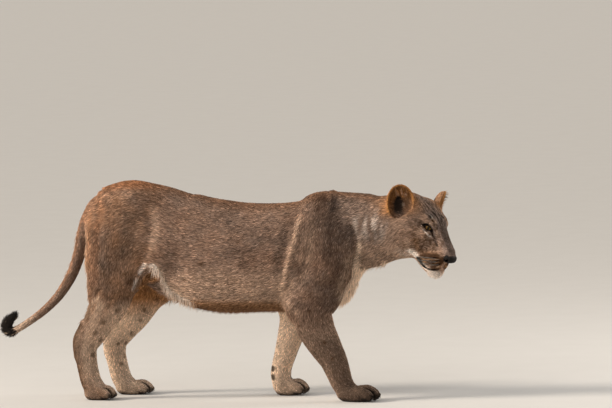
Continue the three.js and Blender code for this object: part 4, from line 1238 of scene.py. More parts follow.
def markings(p, normals, weights):
    """The colour of coat and hide at p: its marks, with painted light and shade among them. The weights say
    which region each point belongs to.
    """
    names = [r.name for r in regions]
    share = lambda *keys: sum(weights[:, k] for k, n in enumerate(names) if n.startswith(keys))
    x, y, z = p.T
    nx, ny, nz = normals.T
    coats = Coats("flank", len(p))
    paint = coats.paint

    def inside_ball(centre, radii):
        return step(1, 0.6, np.linalg.norm((p - centre) / radii, axis=1))

    paint("thigh", share("rump", "hindleg") * step(-250, -420, x))
    paint("neck", share("neck") * 0.85)
    mottle = noise(p, 85, 1) * 0.6 + noise(p, 34, 2) * 0.4
    paint("grey", 0.42 + 0.55 * mottle)
    trunkish = share("rump", "barrel", "neck", "shoulder", "hindleg_left_upper", "hindleg_right_upper")
    paint("back", 0.8 * trunkish * step(0.55, 0.95, nz))
    # painted rim light: the rear-facing rump and hind legs painted warmer and paler, as if lit from behind
    paint("back", 0.40 * share("rump", "hindleg") * step(-0.2, -0.7, nx) * step(300, 420, z))
    paint("tan", 0.30 * share("rump", "hindleg") * step(-0.5, -0.9, nx) * step(300, 420, z))
    paint("forehead", 0.45 * share("neck", "shoulder") * step(0.86, 0.97, nz) * step(420, 600, x))
    # painted shade: the top of the back, behind the middle, darkened
    paint("forehead", 0.60 * trunkish * step(0.45, 0.8, nz) * step(-400, -240, x))
    # pale below: lower flanks, chest strip, throat and the insides of the legs, partly brightened as painted
    # light; the belly's underside gets painted shade
    streaks = noise(p * (1, 1, 0.25), 14, 16)
    paint("tan", 0.80 * share("barrel") * step(620, 480, z))
    # painted shade: the belly's underside darkened to rust and brown
    paint("rust", 0.7 * share("barrel") * step(-0.1, -0.6, nz) * step(450, 410, z))
    paint("brown", 0.80 * share("barrel") * step(-0.1, -0.6, nz) * step(450, 400, z))
    pale_neck = share("neck") * step(520, 590, x) * step(740, 660, x)
    pale_neck = pale_neck * step(660, 740, z) * step(860, 810, z)
    paint("white", pale_neck * (0.06 + 0.45 * streaks))
    paint("tan", 0.6 * share("neck") * step(740, 640, z))
    side = near_side(p)
    body = 1 - share("head", "ear", "tail")
    mirrored_marks_and_shading = [(side, *mark) for mark in BODY_MARKS_AND_SHADING]
    for at, tone, strength, radius, soft, *points in mirrored_marks_and_shading + [(p, *mark) for mark in GROIN_MARKS_AND_SHADE]:
        reach = radius + MARK_REACH
        close = np.all((at > np.min(points, 0) - reach) & (at < np.max(points, 0) + reach), axis=1)
        gap, along = np.full(len(p), 999.0), np.full(len(p), 0.5)
        if close.any():
            gap[close], along[close] = path_distance(at[close], points)
        ends = step(0, 0.12, along) * step(1, 0.88, along)
        worn = 1 + 0.35 * streaks
        paint(tone, body * strength * worn * ends * step(1, 1 - soft, gap / radius))
    # the chest's front strip: pale fur, brightened further with the lit tone as painted light
    strip = step(0.1, 0.5, nx) * step(100, 45, np.abs(y)) * step(640, 570, z) * step(430, 470, x)
    paint("lit", 0.90 * strip * (0.7 + 0.4 * streaks))
    inner = step(-0.1, 0.5, -ny * np.sign(y))
    feet = [n for n in names if n.endswith("_paw")]
    low = share(*feet, *[n for n in names if n.endswith("_lower")])
    paint("tan", 0.45 * low)
    # painted light: the front-facing sides of the hind shins painted pale, as if lit
    lit_shin_fronts = share("hindleg") * step(-0.2, 0.5, nx) * step(470, 390, z)
    paint("lit", 0.50 * lit_shin_fronts)
    fore, hind = share("foreleg"), share("hindleg")
    paint("cream", 0.95 * fore * inner * step(600, 500, z))
    # painted light: the inner sides of the forelegs brightened further, as if lit
    paint("lit", 0.80 * fore * inner * step(560, 460, z))
    paint("cream", 0.75 * hind * inner * step(380, 300, z))
    # painted shade: the insides of the thighs and the groin behind them darkened to rust and brown
    thigh_inside_shade = (hind + share("rump", "barrel") * step(-250, -330, x)) * inner * step(620, 560, z)
    paint("rust", 0.90 * thigh_inside_shade * step(340, 400, z))
    paint("brown", 0.40 * thigh_inside_shade * step(400, 520, z))
    paint("cream", 0.5 * hind * inner * step(440, 380, z) * step(60, 120, z))
    paint("forehead", 0.45 * fore * step(0.5, 0.1, inner) * step(330, 220, z))
    for name, paw in paws.items():
        here = share(name + "_paw") > 0.01
        if not here.any():
            continue
        f, l, u = ((p[here] - paw.origin) @ paw.turn / paw.size).T
        gap = np.min([np.abs(l - cleft) for cleft in (-0.25, 0.0, 0.25)], axis=0) * paw.size[1]
        # painted shade: black lines along the clefts between the toes; the toe tips are painted black too
        dark = 0.92 * step(5.0, 1.8, gap) * step(0.50, 0.68, f)
        nearest = np.min([np.abs(l - across) for across, _, _ in TOES], axis=0)
        tips = 0.92 * step(0.13, 0.07, nearest)
        tips = tips * step(0.82, 0.92, f + 0.5 * np.abs(l)) * step(0.75, 0.45, u)
        marked = np.zeros(len(p))
        marked[here] = np.maximum(dark, tips)
        if name.startswith("fore"):
            toes = np.zeros(len(p))
            toes[here] = 0.55 * step(-0.3, 0.3, f)
            paint("forehead", share(name + "_paw") * toes)
        paint("black", share(name + "_paw") * marked)
    # dark marks: backs of the hind feet, the carpal pads and the soles
    behind = share("hindleg") * step(-0.25, -0.75, nx) * step(500, 440, z) * step(20, 60, z)
    paint("brown", 0.75 * behind * step(0.5, 0.0, inner))
    for centre, radii in CARPAL_PADS:
        paint("black", 0.8 * inside_ball(centre, radii))
    paint("pad", share(*feet) * step(-0.2, -0.75, nz) * step(30, 16, z))
    blotch = 1 + 0.35 * noise(p, 9, 18)
    for (x0, y0, z0), r in zip(spot_places, SPOT_SPREAD * np.array(SPOTS)[:, 3]):
        gap = far(p, (x0, y0, z0)) / r * blotch
        paint("brown", 0.66 * step(1.0, 0.3, gap))
    # tail: tan, paler under and near the end, with a black tuft
    tail_share = share("tail")
    run = np.zeros(len(p))
    mine = tail_share > LEAST_SHARE
    if mine.any():
        run[mine] = tail.run_at(p[mine])
    paint("back", 0.45 * tail_share * step(-0.2, -0.8, nx))
    paint("cream", 0.5 * tail_share * step(0.70, 0.86, run))
    paint("black", tail_share * step(0.875, 0.92, run) * 0.97)
    q = to_head(p)
    colour = head_markings(coats.colour, q, normals, share("head") * step(-150, -60, q[:, 0]))
    for name in EARS:
        colour = ear_markings_and_shading(colour, q, normals, share("ear_" + name), name)
    fine = 1 + 0.20 * noise(p, 70, 21) + 0.12 * noise(p, 22, 3) + 0.12 * noise(p, 9, 4)
    depth = (colour.mean(1) / MIDDLE_TONE) ** (0.15 + 0.2 * share("head", "ear"))
    colour = colour * (fine * depth)[:, None]
    return np.maximum(colour * np.minimum(1, PALEST / colour.max(1))[:, None], DARKEST)


# ---------------------------------------------------------------------------------- materials


def set_values(node, **values):
    """Sets a node's sockets by name, with _ for a space."""
    for name, value in values.items():
        node.inputs[name.replace("_", " ")].default_value = value


class Look:
    """A material whose nodes are added one after another."""

    def __init__(self, name):
        self.material = bpy.data.materials.new(name)
        self.material.use_nodes = True
        self.nodes, self.link = self.material.node_tree.nodes, self.material.node_tree.links.new
        self.shader = self.nodes["Principled BSDF"]

    def add(self, kind, **values):
        node = self.nodes.new("ShaderNode" + kind)
        set_values(node, **values)
        return node

    def maths(self, kind, operation):
        node = self.add(kind)
        node.operation = operation
        return node

    def feed(self, socket, source):
        self.link(source, self.shader.inputs[socket])

    def place(self):
        """The object's own coordinates."""
        return self.add("TexCoord").outputs["Object"]

    def noise(self, scale, detail=3.0, stretch=(1, 1, 1)):
        mapping = self.add("Mapping", Scale=stretch)
        texture = self.add("TexNoise", Scale=scale, Detail=detail)
        self.link(self.place(), mapping.inputs["Vector"])
        self.link(mapping.outputs["Vector"], texture.inputs["Vector"])
        return texture.outputs["Fac"]

    def ranged(self, source, low, high):
        """The source's middle range turned into low to high."""
        node = self.add("MapRange", From_Min=0.3, From_Max=0.7, To_Min=low, To_Max=high)
        self.link(source, node.inputs["Value"])
        return node.outputs["Result"]

    def scaled(self, colour, shade):
        """A colour made darker or paler by shade."""
        node = self.maths("VectorMath", "SCALE")
        self.link(colour, node.inputs[0])
        self.link(shade, node.inputs["Scale"])
        return node.outputs["Vector"]

    def ramp(self, source, stops):
        """The colours of stops, each a position and a colour, along the source's value."""
        node = self.add("ValToRGB")
        first, last = node.color_ramp.elements
        for element, (position, rgb) in ((first, stops[0]), (last, stops[-1])):
            element.position = position
            element.color = (*rgb, 1)
        for position, rgb in stops[1:-1]:
            node.color_ramp.elements.new(position).color = (*rgb, 1)
        self.link(source, node.inputs["Fac"])
        return node.outputs["Color"]

    def mesh_colours(self):
        node = self.add("Attribute")
        node.attribute_name = "Coat"
        return node.outputs["Color"]

    def bump(self, height, strength, distance):
        relief = self.add("Bump", Strength=strength, Distance=distance)
        self.link(height, relief.inputs["Height"])
        self.feed("Normal", relief.outputs["Normal"])


def coat_material(name, grain, contrast, bump, roughness):
    """Hair or hide in the colours held by the mesh, broken up by fine grain."""
    look = Look(name)
    grainy = look.noise(grain)
    shade = look.ranged(grainy, 1 - contrast, 1 + contrast)
    look.feed("Base Color", look.scaled(look.mesh_colours(), shade))
    look.feed("Roughness", look.ranged(grainy, *roughness))
    set_values(look.shader, Specular_IOR_Level=0.06, Sheen_Weight=0.015, Sheen_Roughness=0.5)
    set_values(look.shader, Sheen_Tint=(1.0, 0.86, 0.7, 1))
    if bump:
        look.bump(look.noise(grain * 1.7, 5.0), bump, 0.0015)
    return look.material


def leather_material(name):
    """Bare pebbled nose skin: near black, a little browner along its upper edge."""
    look = Look(name)
    grainy = look.noise(900.0, 2.0)
    look.feed("Base Color", look.scaled(look.mesh_colours(), look.ranged(grainy, 0.75, 1.25)))
    pebbles = look.add("TexVoronoi", Scale=700.0)
    look.link(look.place(), pebbles.inputs["Vector"])
    look.bump(pebbles.outputs["Distance"], 0.35, 0.0006)
    look.feed("Roughness", look.ranged(grainy, 0.42, 0.58))
    set_values(look.shader, Specular_IOR_Level=0.12)
    return look.material


EYE_RINGS = [  # from the pupil's middle out, as shares of the eyeball's radius: pupil, iris, its rim, white
    (0.00, (0.004, 0.004, 0.004)),
    (0.28, (0.004, 0.004, 0.004)),
    (0.31, (0.15, 0.085, 0.016)),
    (0.42, (0.24, 0.13, 0.022)),
    (0.58, (0.13, 0.055, 0.012)),
    (0.66, (0.06, 0.028, 0.010)),
    (0.70, (0.012, 0.008, 0.007)),
    (0.80, (0.045, 0.026, 0.020)),
    (0.95, (0.12, 0.07, 0.055)),
]


def eye_material(radius):
    """Amber iris round a black pupil, in the eyeball's own coordinates, where +Z looks out."""
    look = Look("eye")
    parts, flat = look.add("SeparateXYZ"), look.add("CombineXYZ")
    look.link(look.place(), parts.inputs["Vector"])
    for axis in "XY":
        look.link(parts.outputs[axis], flat.inputs[axis])
    length, reach = look.maths("VectorMath", "LENGTH"), look.maths("Math", "DIVIDE")
    look.link(flat.outputs["Vector"], length.inputs[0])
    look.link(length.outputs["Value"], reach.inputs[0])
    reach.inputs[1].default_value = radius * MM
    rings = look.ramp(reach.outputs["Value"], EYE_RINGS)
    shade = look.ranged(look.noise(420.0, 3.0, (1, 1, 0.2)), 0.7, 1.35)
    look.feed("Base Color", look.scaled(rings, shade))
    set_values(look.shader, Roughness=0.4, Specular_IOR_Level=0.1)
    set_values(look.shader, Coat_IOR=1.3, Coat_Weight=0.5, Coat_Roughness=0.03)
    return look.material


def horn_material(name, dark, light):
    """Claw horn or whisker: dark and light streaks along it, half glossy."""
    look = Look(name)
    streaks = look.noise(260.0, 2.0, (1, 1, 0.3))
    look.feed("Base Color", look.ramp(streaks, [(0.35, dark), (0.65, light)]))
    look.feed("Roughness", look.ranged(streaks, 0.35, 0.5))
    return look.material


def floor_material():
    look = Look("studio_floor")
    tones = [(0.0, (0.74, 0.72, 0.69)), (1.0, (0.78, 0.76, 0.73))]
    look.feed("Base Color", look.ramp(look.noise(6.0), tones))
    set_values(look.shader, Roughness=0.9)
    return look.material


# ---------------------------------------------------------------------------------- meshes

eye_centres = [from_head(EYE_AT * (1, side, 1)) for side in (-1, 1)]  # right, left
low, high = (np.array(v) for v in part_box("eye_right"))
OFFSET = (low + high) / 2 - eye_centres[0] * MM


def to_frame(p):
    """Millimetres about the middle of the trunk to metres in the frame."""
    return np.asarray(p) * MM + OFFSET


def make_piece(name, points, faces, material, slot, colours=None, uv=None, normals=None):
    """A mesh object from arrays, riding on the body. Faces are rows of 3, or of 4 whose last index
    repeats the first where the face is a triangle."""
    mesh = bpy.data.meshes.new(name)
    faces = np.asarray(faces)
    sizes = np.full(len(faces), faces.shape[1])
    corners = faces.ravel()
    if faces.shape[1] == 4:
        triangle = faces[:, 3] == faces[:, 0]
        keep = np.ones(faces.shape, bool)
        keep[triangle, 3] = False
        sizes = keep.sum(1)
        corners = faces[keep]
    mesh.vertices.add(len(points))
    mesh.vertices.foreach_set("co", np.ascontiguousarray(points, np.float32).ravel())
    mesh.loops.add(len(corners))
    mesh.loops.foreach_set("vertex_index", corners.astype(np.int32))
    mesh.polygons.add(len(faces))
    mesh.polygons.foreach_set("loop_start", (np.cumsum(sizes) - sizes).astype(np.int32))
    mesh.polygons.foreach_set("loop_total", sizes.astype(np.int32))
    mesh.update(calc_edges=True)
    mesh.polygons.foreach_set("use_smooth", np.ones(len(faces), bool))
    if colours is not None:
        layer = mesh.color_attributes.new("Coat", "FLOAT_COLOR", "POINT")
        rgba = np.ones((len(points), 4), np.float32)
        rgba[:, :3] = colours
        layer.data.foreach_set("color", rgba.ravel())
    if uv is not None:
        layer = mesh.uv_layers.new(name="OFBake")
        layer.data.foreach_set("uv", np.ascontiguousarray(uv[corners], np.float32).ravel())
    if normals is not None:
        mesh.normals_split_custom_set_from_vertices(np.ascontiguousarray(normals, np.float32))
    mesh.materials.append(material)
    piece = bpy.data.objects.new(name, mesh)
    bpy.context.scene.collection.objects.link(piece)
    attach(piece, BODY)
    return piece


# ---------------------------------------------------------------------------------- skin

BODY_LO, BODY_HI = (-1075, -200, -12), (1075, 200, 985)
SKIN_FLOOR, HAIR_FLOOR = 0.3, 0.4  # millimetres above the floor that no point of skin or hair goes below
HIDE_SHADE = 0.8  # the skin's colour is the coat's, darkened by this
FLESH = [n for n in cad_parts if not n.startswith(("eye_", "nose"))]

spot_places, _ = onto(field, np.array(SPOTS, float)[:, :3], np.full(len(SPOTS), 30.0))
outer, faces, outward = surface(field, BODY_LO, BODY_HI, CELL, cell_level, FINEST)
weights = shared_out(region_weights, outer)
table = np.array([r.coat for r in regions])
coat = weights @ table  # depth, length, width, density at each point of the skin


def bareness(p):
    """1 on the lids' edges, the lips and the mouth's corners, where the coat is thinnest."""
    q = to_head(p)
    pair = mirrored(q)
    opening, _ = eye_opening(pair)
    mouth, _ = path_distance(pair, MOUTH)
    corner, _ = path_distance(pair, MOUTH_CORNER)
    return np.maximum(step(3.5, 1.2, opening), np.maximum(step(4.5, 2.5, mouth), step(13, 9.5, corner)))


bare = bareness(outer)
inset = coat[:, 0] * (1 - 0.9 * bare)
inset *= step(0, 6, outer[:, 2]) * 0.95 + 0.05  # next to nothing under the soles
skin_points = outer - outward * inset[:, None]
skin_points[:, 2] = np.maximum(skin_points[:, 2], SKIN_FLOOR)
lie = shared_out(lie_of_coat, outer, outward, weights)
hide = shared_out(markings, outer, outward, weights)
hide_look = coat_material("hide", 420.0, 0.28, 0.5, (0.7, 0.9))
skin = make_piece("skin", to_frame(skin_points), faces, hide_look, "coat_flank", hide * HIDE_SHADE)
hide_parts(*FLESH)

# ---------------------------------------------------------------------------------- tufts of coat

rng = np.random.default_rng(20)
PATCH = 0.0015  # half the width of a tuft's patch on the unwrap
BLOCK = 25  # triangles are taken in blocks this many millimetres wide, so that roots are spread evenly
# Blades: how far the roots are sunk, and the ridge's place along and above the blade.
SUNK, RIDGE_ALONG, RIDGE_HEIGHT = 0.7, 0.38, 0.72
# Shares of dark-tipped and pale-tipped blades, and how far one blade's shade strays from the next's.
DARK_TIPPED, PALE_TIPPED, STRAY = 0.30, 0.18, 0.22
SWAY, VARIES = 0.16, 0.5  # how far blades turn from the lie of the coat, and how much their sizes differ


def scatter(density):
    """Roots spread over the skin, density to a square cm: the triangle of each and its weights."""
    triangles = np.vstack([faces[:, [0, 1, 2]], faces[faces[:, 3] != faces[:, 0]][:, [0, 2, 3]]])
    a, b, c = (outer[triangles[:, k]] for k in range(3))
    area = np.linalg.norm(np.cross(b - a, c - a), axis=1) / 200  # in square cm
    middle = (a + b + c) / 3
    order = np.lexsort(np.floor(middle / BLOCK).T)
    triangles, area = triangles[order], area[order]
    total = np.cumsum(area * density[triangles].mean(1))
    count = int(total[-1])
    picks = (np.arange(count) + rng.random(count)) * total[-1] / count
    chosen = triangles[np.minimum(np.searchsorted(total, picks), len(triangles) - 1)]
    r1, r2 = np.sqrt(rng.random(count)), rng.random(count)
    return chosen, np.column_stack([1 - r1, r1 * (1 - r2), r1 * r2])


def varied(least, count):
    """Shares from least up, for sizes that differ from one hair to the next."""
    return least + VARIES * rng.random(count)


def at_roots(values, chosen, share):
    picked = values[chosen]
    if values.ndim == 1:
        return (picked * share).sum(1)
    return (picked * share[:, :, None]).sum(1)


def ticked(colour, clump, count):
    """Hair colours about the coat's own: most near it, some dark tipped, some pale. Returns root and tip."""
    shade = np.exp(rng.normal(0, STRAY, count) + clump)
    kind = rng.random(count)
    tip = np.where(kind < DARK_TIPPED, 0.32, np.where(kind > 1 - PALE_TIPPED, 2.05, 1.10))
    root = np.where(kind < DARK_TIPPED, 0.62, np.where(kind > 1 - PALE_TIPPED, 1.0, 0.72))
    warm = 1 + rng.normal(0, 0.03, (count, 1)) * (1, 0, -1)
    return colour * (shade * root)[:, None] * warm, colour * (shade * tip)[:, None] * warm


def short_tufts(points, normals, along, height, length, width, root_colour, tip_colour, unwrap):
    """Four-sided blades: two roots, a ridge and a tip. Returns points, faces, colours, uv and normals."""
    count = len(points)
    side = np.cross(normals, along)
    half = side * (width / 2)[:, None]
    sunk = points - normals * SUNK
    ridge = points + along * (length * RIDGE_ALONG)[:, None] + normals * (height * RIDGE_HEIGHT)[:, None]
    tip = points + along * length[:, None] + normals * height[:, None]
    verts = np.stack([sunk - half, sunk + half, ridge, tip], 1).reshape(-1, 3)
    verts[:, 2] = np.maximum(verts[:, 2], HAIR_FLOOR)
    base = np.arange(count)[:, None, None] * 4
    tris = (base + np.array([[0, 2, 1], [0, 3, 2], [2, 3, 1], [1, 3, 0]])).reshape(-1, 3)
    middle = (root_colour + tip_colour) / 2
    colours = np.stack([root_colour, root_colour, middle, tip_colour], 1).reshape(-1, 3)
    patch = np.array([[-PATCH, -PATCH], [PATCH, -PATCH], [0, 0.2 * PATCH], [0, PATCH]])
    uv = (unwrap[:, None] * 0.98 + 0.01 + patch).reshape(-1, 2)
    lean = unit(normals + along * 0.25)
    shading = np.stack([unit(lean - side * 0.35), unit(lean + side * 0.35), lean, lean], 1).reshape(-1, 3)
    return verts, tris, colours, uv, shading


def tuft_density():
    density = coat[:, 3].copy()
    density *= 1 - 0.97 * bare
    density *= step(3, 14, outer[:, 2]) * 0.98 + 0.02
    q = to_head(outer)
    density *= 1 - step(3.5, 0.5, nose_shape(q))
    for name in EARS:
        e = ear_place(q, name)
        deep = step(10, 5, ear_hollow(e)) * (ear_facing(outward, name) > 0)
        radial = np.hypot((ear_inward(e, name) + 3) / 17, (e[:, 2] + 10) / 27)
        density *= 1 - 0.92 * deep * step(1.0, 0.7, radial)
    return density


chosen, share = scatter(tuft_density())
roots = at_roots(skin_points, chosen, share)
root_normals = unit(at_roots(outward, chosen, share))
root_weights = at_roots(weights, chosen, share)
root_coat = at_roots(coat, chosen, share)
root_inset = at_roots(inset, chosen, share)
count = len(roots)
along = at_roots(lie, chosen, share)
sway = rng.normal(0, SWAY, count)
along = along + np.cross(root_normals, along) * sway[:, None]
along = unit(along - (along * root_normals).sum(1)[:, None] * root_normals)
height = root_inset * varied(0.62, count)
length = root_coat[:, 1] * varied(0.75, count)
width = root_coat[:, 2] * varied(0.75, count)
colour = shared_out(markings, roots, root_normals, root_weights)
# hairs gather in locks of like shade: fine streaks drawn out along the lie of the coat
drawn = roots - along * (0.5 * (roots * along).sum(1))[:, None]
streak = shared_out(lambda p: 0.7 * noise(p, 5.0, 8) + 0.3 * noise(p, 11, 9), drawn)
grain = mix(1.05, 0.60, root_weights[:, [r.name for r in regions].index("head")])
grain = grain * (1.15 - 0.9 * colour.mean(1))
root_colour, tip_colour = ticked(colour, streak * grain, count)
owner = root_weights.argmax(1)
fur = coat_material("coat", 700.0, 0.12, 0.0, (0.55, 0.75))
SLOTS = {
    "rump": "coat_back",
    "barrel": "coat_flank",
    "neck": "coat_flank",
    "shoulder": "coat_back",
    "head": "coat_head",
    "ear": "coat_ear",
    "tail": "coat_pale",
}


def slot_of(name):
    for start, slot in SLOTS.items():
        if name.startswith(start):
            return slot
    return "coat_leg" if name.endswith("_upper") else "coat_pale"


MOST_TUFTS = 49000  # in one piece
for k, region in enumerate(regions):
    mine = np.flatnonzero(owner == k)
    if len(mine) == 0:
        continue
    pieces = math.ceil(len(mine) / MOST_TUFTS)
    uv_all = region.unwrap(roots[mine], root_normals[mine])
    for i, some in enumerate(np.array_split(np.arange(len(mine)), pieces)):
        columns = (roots, root_normals, along, height, length, width, root_colour, tip_colour)
        made = short_tufts(*[column[mine[some]] for column in columns], uv_all[some])
        name = "coat_" + region.name + ("" if pieces == 1 else "_" + "abcdefgh"[i])
        make_piece(name, to_frame(made[0]), made[1], fur, slot_of(region.name), *made[2:])

# ---------------------------------------------------------------------------------- long hair

STATIONS = np.array([0.0, 0.36, 0.72])  # where a lock has a ring of three points, before its tip
FULLNESS = np.array([0.9, 1.0, 0.62])


def path_share(p, points, radius):
    gap, _ = path_distance(p, points)
    return step(radius, radius * 0.5, gap)


def long_locks(points, normals, way, length, width, droop, root_colour, tip_colour, unwrap):
    """Locks of three rings and a tip that leave the skin along way and bend as droop says."""
    count = len(points)
    side = unit(np.cross(normals, way))
    rings, lean_all = [], []
    for t, full in zip(STATIONS, FULLNESS):
        middle = points + (way * t + droop * t * t) * length[:, None] - normals * (1.0 if t == 0 else 0)
        ahead = unit(way + 2 * droop * t)
        lift = unit(np.cross(ahead, side))
        lift *= np.sign((lift * normals).sum(1))[:, None] + 1e-6
        half = side * (0.5 * width * full)[:, None]
        rings += [middle - half, middle + half, middle + lift * (0.38 * width * full)[:, None]]
        lean = unit(normals * 0.7 + lift * 0.5)
        lean_all += [unit(lean - side * 0.4), unit(lean + side * 0.4), lean]
    tip = points + (way + droop) * length[:, None]
    verts = np.stack(rings + [tip], 1)
    verts[:, :, 2] = np.maximum(verts[:, :, 2], HAIR_FLOOR)
    shading = np.stack(lean_all + [unit(normals + way * 0.3)], 1)
    cap = [(0, 2), (2, 1), (1, 0)]
    tris = [(0, 2, 1)]
    for r in (0, 3):
        for a, b in cap:
            tris += [(b + r, a + r, a + r + 3), (b + r, a + r + 3, b + r + 3)]
    tris += [(b + 6, a + 6, 9) for a, b in cap]
    faces = (np.arange(count)[:, None, None] * 10 + np.array(tris)).reshape(-1, 3)
    shades = [mix(root_colour, tip_colour, t) for t in (0, 0, 0, 0.45, 0.45, 0.45, 0.85, 0.85, 0.85, 1)]
    colours = np.stack(shades, 1).reshape(-1, 3)
    u = np.array([-1, 1, 0] * 3 + [0]) * PATCH
    v = np.array([-1, -1, -1, -0.3, -0.3, -0.3, 0.4, 0.4, 0.4, 1]) * PATCH
    uv = (unwrap[:, None] * 0.98 + 0.01 + np.column_stack([u, v])).reshape(-1, 2)
    return verts.reshape(-1, 3), faces, colours, uv, shading.reshape(-1, 3)


def ears_share(p, normals, name):
    """1 in the part of an ear's hollow where its long hair grows."""
    e = ear_place(to_head(p), name)
    within = step(8, 4, ear_hollow(e)) * (ear_facing(normals, name) > 0)
    radial = np.hypot(e[:, 1] / EAR_IN[1], (e[:, 2] - EAR_SHIFT[2]) / EAR_IN[2])
    front = step(8, 16, ear_inward(e, name)) * step(-40, -25, e[:, 2])
    return within * np.maximum(front * step(0.25, 0.5, radial), 0.3 * step(0.72, 0.9, radial))


RUFF = [(-62, 112, -10), (-72, 116, -50), (-70, 112, -84), (-52, 98, -112)]
JOWL = [(-40, 84, -106), (-14, 76, -110), (-2, 70, -112)]
ELBOW = [(236, -112, 440), (250, -116, 400), (262, -112, 360)]
LOCKS = [
    # name, slot, length, width, share of droop, how far they hang, locks to a square cm, tone and its share
    # the chest's locks take the lit tone: pale fur, brightened as painted light
    ("chest", "coat_pale", 28, 2.8, 0.30, 0.5, 3.0, "lit", 0.85),
    ("groin", "coat_pale", 34, 2.4, 0.35, 0.8, 3.6, "cream", 0.25),
    ("belly", "coat_pale", 20, 2.8, 0.25, 0.3, 1.6, "thigh", 0.2),
    ("thigh", "coat_back", 24, 2.8, 0.20, 0.4, 1.6, "cream", 0.15),
    ("elbow", "coat_leg", 24, 2.6, 0.25, 0.4, 2.4, "brown", 0.25),
    ("ruff", "coat_head", 24, 2.4, 0.20, 0.2, 2.6, "tan", 0.3),
    ("jowl", "coat_head", 16, 2.0, 0.25, 0.3, 3.2, "white", 0.3),
    ("chin", "coat_head", 12, 1.7, 0.45, 0.5, 7.0, "white", 0.3),
    ("ears", "coat_ear", 22, 1.5, 0.35, 0.0, 5.0, "rust", 0.08),
]


def locks_share(name, p, n):
    """1 where the locks of that name grow at full thickness, 0 where there are none."""
    x, y, z = p.T
    q = mirrored(to_head(p))
    if name == "chest":
        strip = step(0.15, 0.5, n[:, 0]) * step(75, 40, np.abs(y))
        return strip * step(660, 600, z) * step(400, 440, z) * (x > 430) * (x < 690)
    if name == "groin":
        return np.maximum(path_share(p, GROIN, 15), path_share(p, LEFT_GROIN, 20))
    if name == "belly":
        return step(-0.6, -0.9, n[:, 2]) * (x > -330) * (x < 330) * (z > 340)
    if name == "thigh":
        return step(-0.6, -0.9, n[:, 0]) * (x < -480) * step(300, 360, z) * step(800, 700, z)
    if name == "elbow":
        return path_share(near_side(p), ELBOW, 26)
    if name == "ruff":
        return path_share(q, RUFF, 26)
    if name == "jowl":
        return path_share(q, JOWL, 18)
    if name == "chin":
        return step(30, 18, far(q, (90, 8, -142))) * step(0.1, -0.4, n[:, 2])
    return np.maximum(ears_share(p, n, "right"), ears_share(p, n, "left"))


def add_locks(name, slot, made):
    make_piece("locks_" + name, to_frame(made[0]), made[1], fur, slot, *made[2:])


for name, slot, hair, wide, droop_share, hang, thick, tone, tint in LOCKS:
    chosen, share = scatter(thick * locks_share(name, outer, outward))
    root = at_roots(skin_points, chosen, share)
    out_way = unit(at_roots(outward, chosen, share))
    shares = at_roots(weights, chosen, share)
    flow = at_roots(lie, chosen, share)
    down = np.array([0, 0, -1.0]) - out_way * -out_way[:, 2:]
    way = unit(mix(flow, unit(down), hang) + rng.normal(0, 0.14, root.shape))
    way = unit(way + out_way * (0.30 + 0.12 * rng.random((len(root), 1))))
    base = markings(root, out_way, shares)
    base = mix(base, TONES[tone], tint) * np.exp(rng.normal(0, 0.18, (len(root), 1)))
    owner_here = shares.argmax(1)
    unwrap = np.zeros((len(root), 2))
    for k in np.unique(owner_here):
        mine = owner_here == k
        unwrap[mine] = regions[k].unwrap(root[mine], out_way[mine])
    size = varied(0.7, len(root))
    droop = np.array([0, 0, -droop_share]) + 0 * root
    shades = base * 0.75, base * 1.2
    add_locks(name, slot, long_locks(root, out_way, way, hair * size, wide * size, droop, *shades, unwrap))

# the tuft at the tail's end: dark locks that trail along it, with a few pale ones on its underside
TUFT_HAIR, TUFT_WIDE, TUFT_THICK = 30, 3.0, 9.0  # length and width, and locks to a square cm
PALE_LOCKS = 0.12  # their share on the underside
chosen, share = scatter(TUFT_THICK * step(0.865, 0.90, tail.run_at(outer)) * (outer[:, 0] < -900))
root = at_roots(skin_points, chosen, share)
out_way = unit(at_roots(outward, chosen, share))
way = unit(at_roots(lie, chosen, share) + out_way * 0.35 + rng.normal(0, 0.12, root.shape))
pale = (rng.random(len(root)) < PALE_LOCKS) * step(-0.2, -0.7, out_way[:, 2])
base = mix(TONES["black"] * 1.6, TONES["cream"], pale[:, None])
base = base * np.exp(rng.normal(0, 0.25, (len(root), 1)))
size = varied(0.65, len(root))
unwrap = next(r for r in regions if r.name == "tail").unwrap(root, out_way)
sizes = TUFT_HAIR * size, TUFT_WIDE * size
shades = base * 0.8, base * 1.5
add_locks("tail", "coat_dark", long_locks(root, out_way, way, *sizes, 0 * root, *shades, unwrap))

# ---------------------------------------------------------------------------------- whiskers and claws


def tube(path, radii, sides=6, across=(0, 0, 1)):
    """A closed tapering tube along a path of points."""
    path = np.asarray(path, float)
    ahead = unit(np.gradient(path, axis=0))
    one = unit(np.cross(ahead, across))
    two = np.cross(ahead, one)
    angles = np.arange(sides) * 2 * np.pi / sides
    rings = [
        c + (a * np.cos(angles)[:, None] + b * np.sin(angles)[:, None]) * r
        for c, a, b, r in zip(path, one, two, radii)
    ]
    points = np.vstack(rings + [path[:1], path[-1:]])
    faces = []
    for i in range(len(path) - 1):
        for j in range(sides):
            a, b = i * sides + j, i * sides + (j + 1) % sides
            faces.append((a, b, b + sides, a + sides))
    start, end, last = len(points) - 2, len(points) - 1, (len(path) - 1) * sides
    for j in range(sides):
        k = (j + 1) % sides
        faces += [(start, k, j, start), (end, last + j, last + k, end)]
    return points, np.array(faces)


def joined(solids):
    points, faces, start = [], [], 0
    for p, f in solids:
        points.append(p)
        faces.append(f + start)
        start += len(p)
    return np.vstack(points), np.vstack(faces)


def whisker(root, way, bend, length, radius):
    t = np.linspace(0, 1, 8)[:, None]
    path = root + (way * t + bend * t * t) * length
    return tube(path, radius * (1 - 0.85 * t[:, 0]), 5)


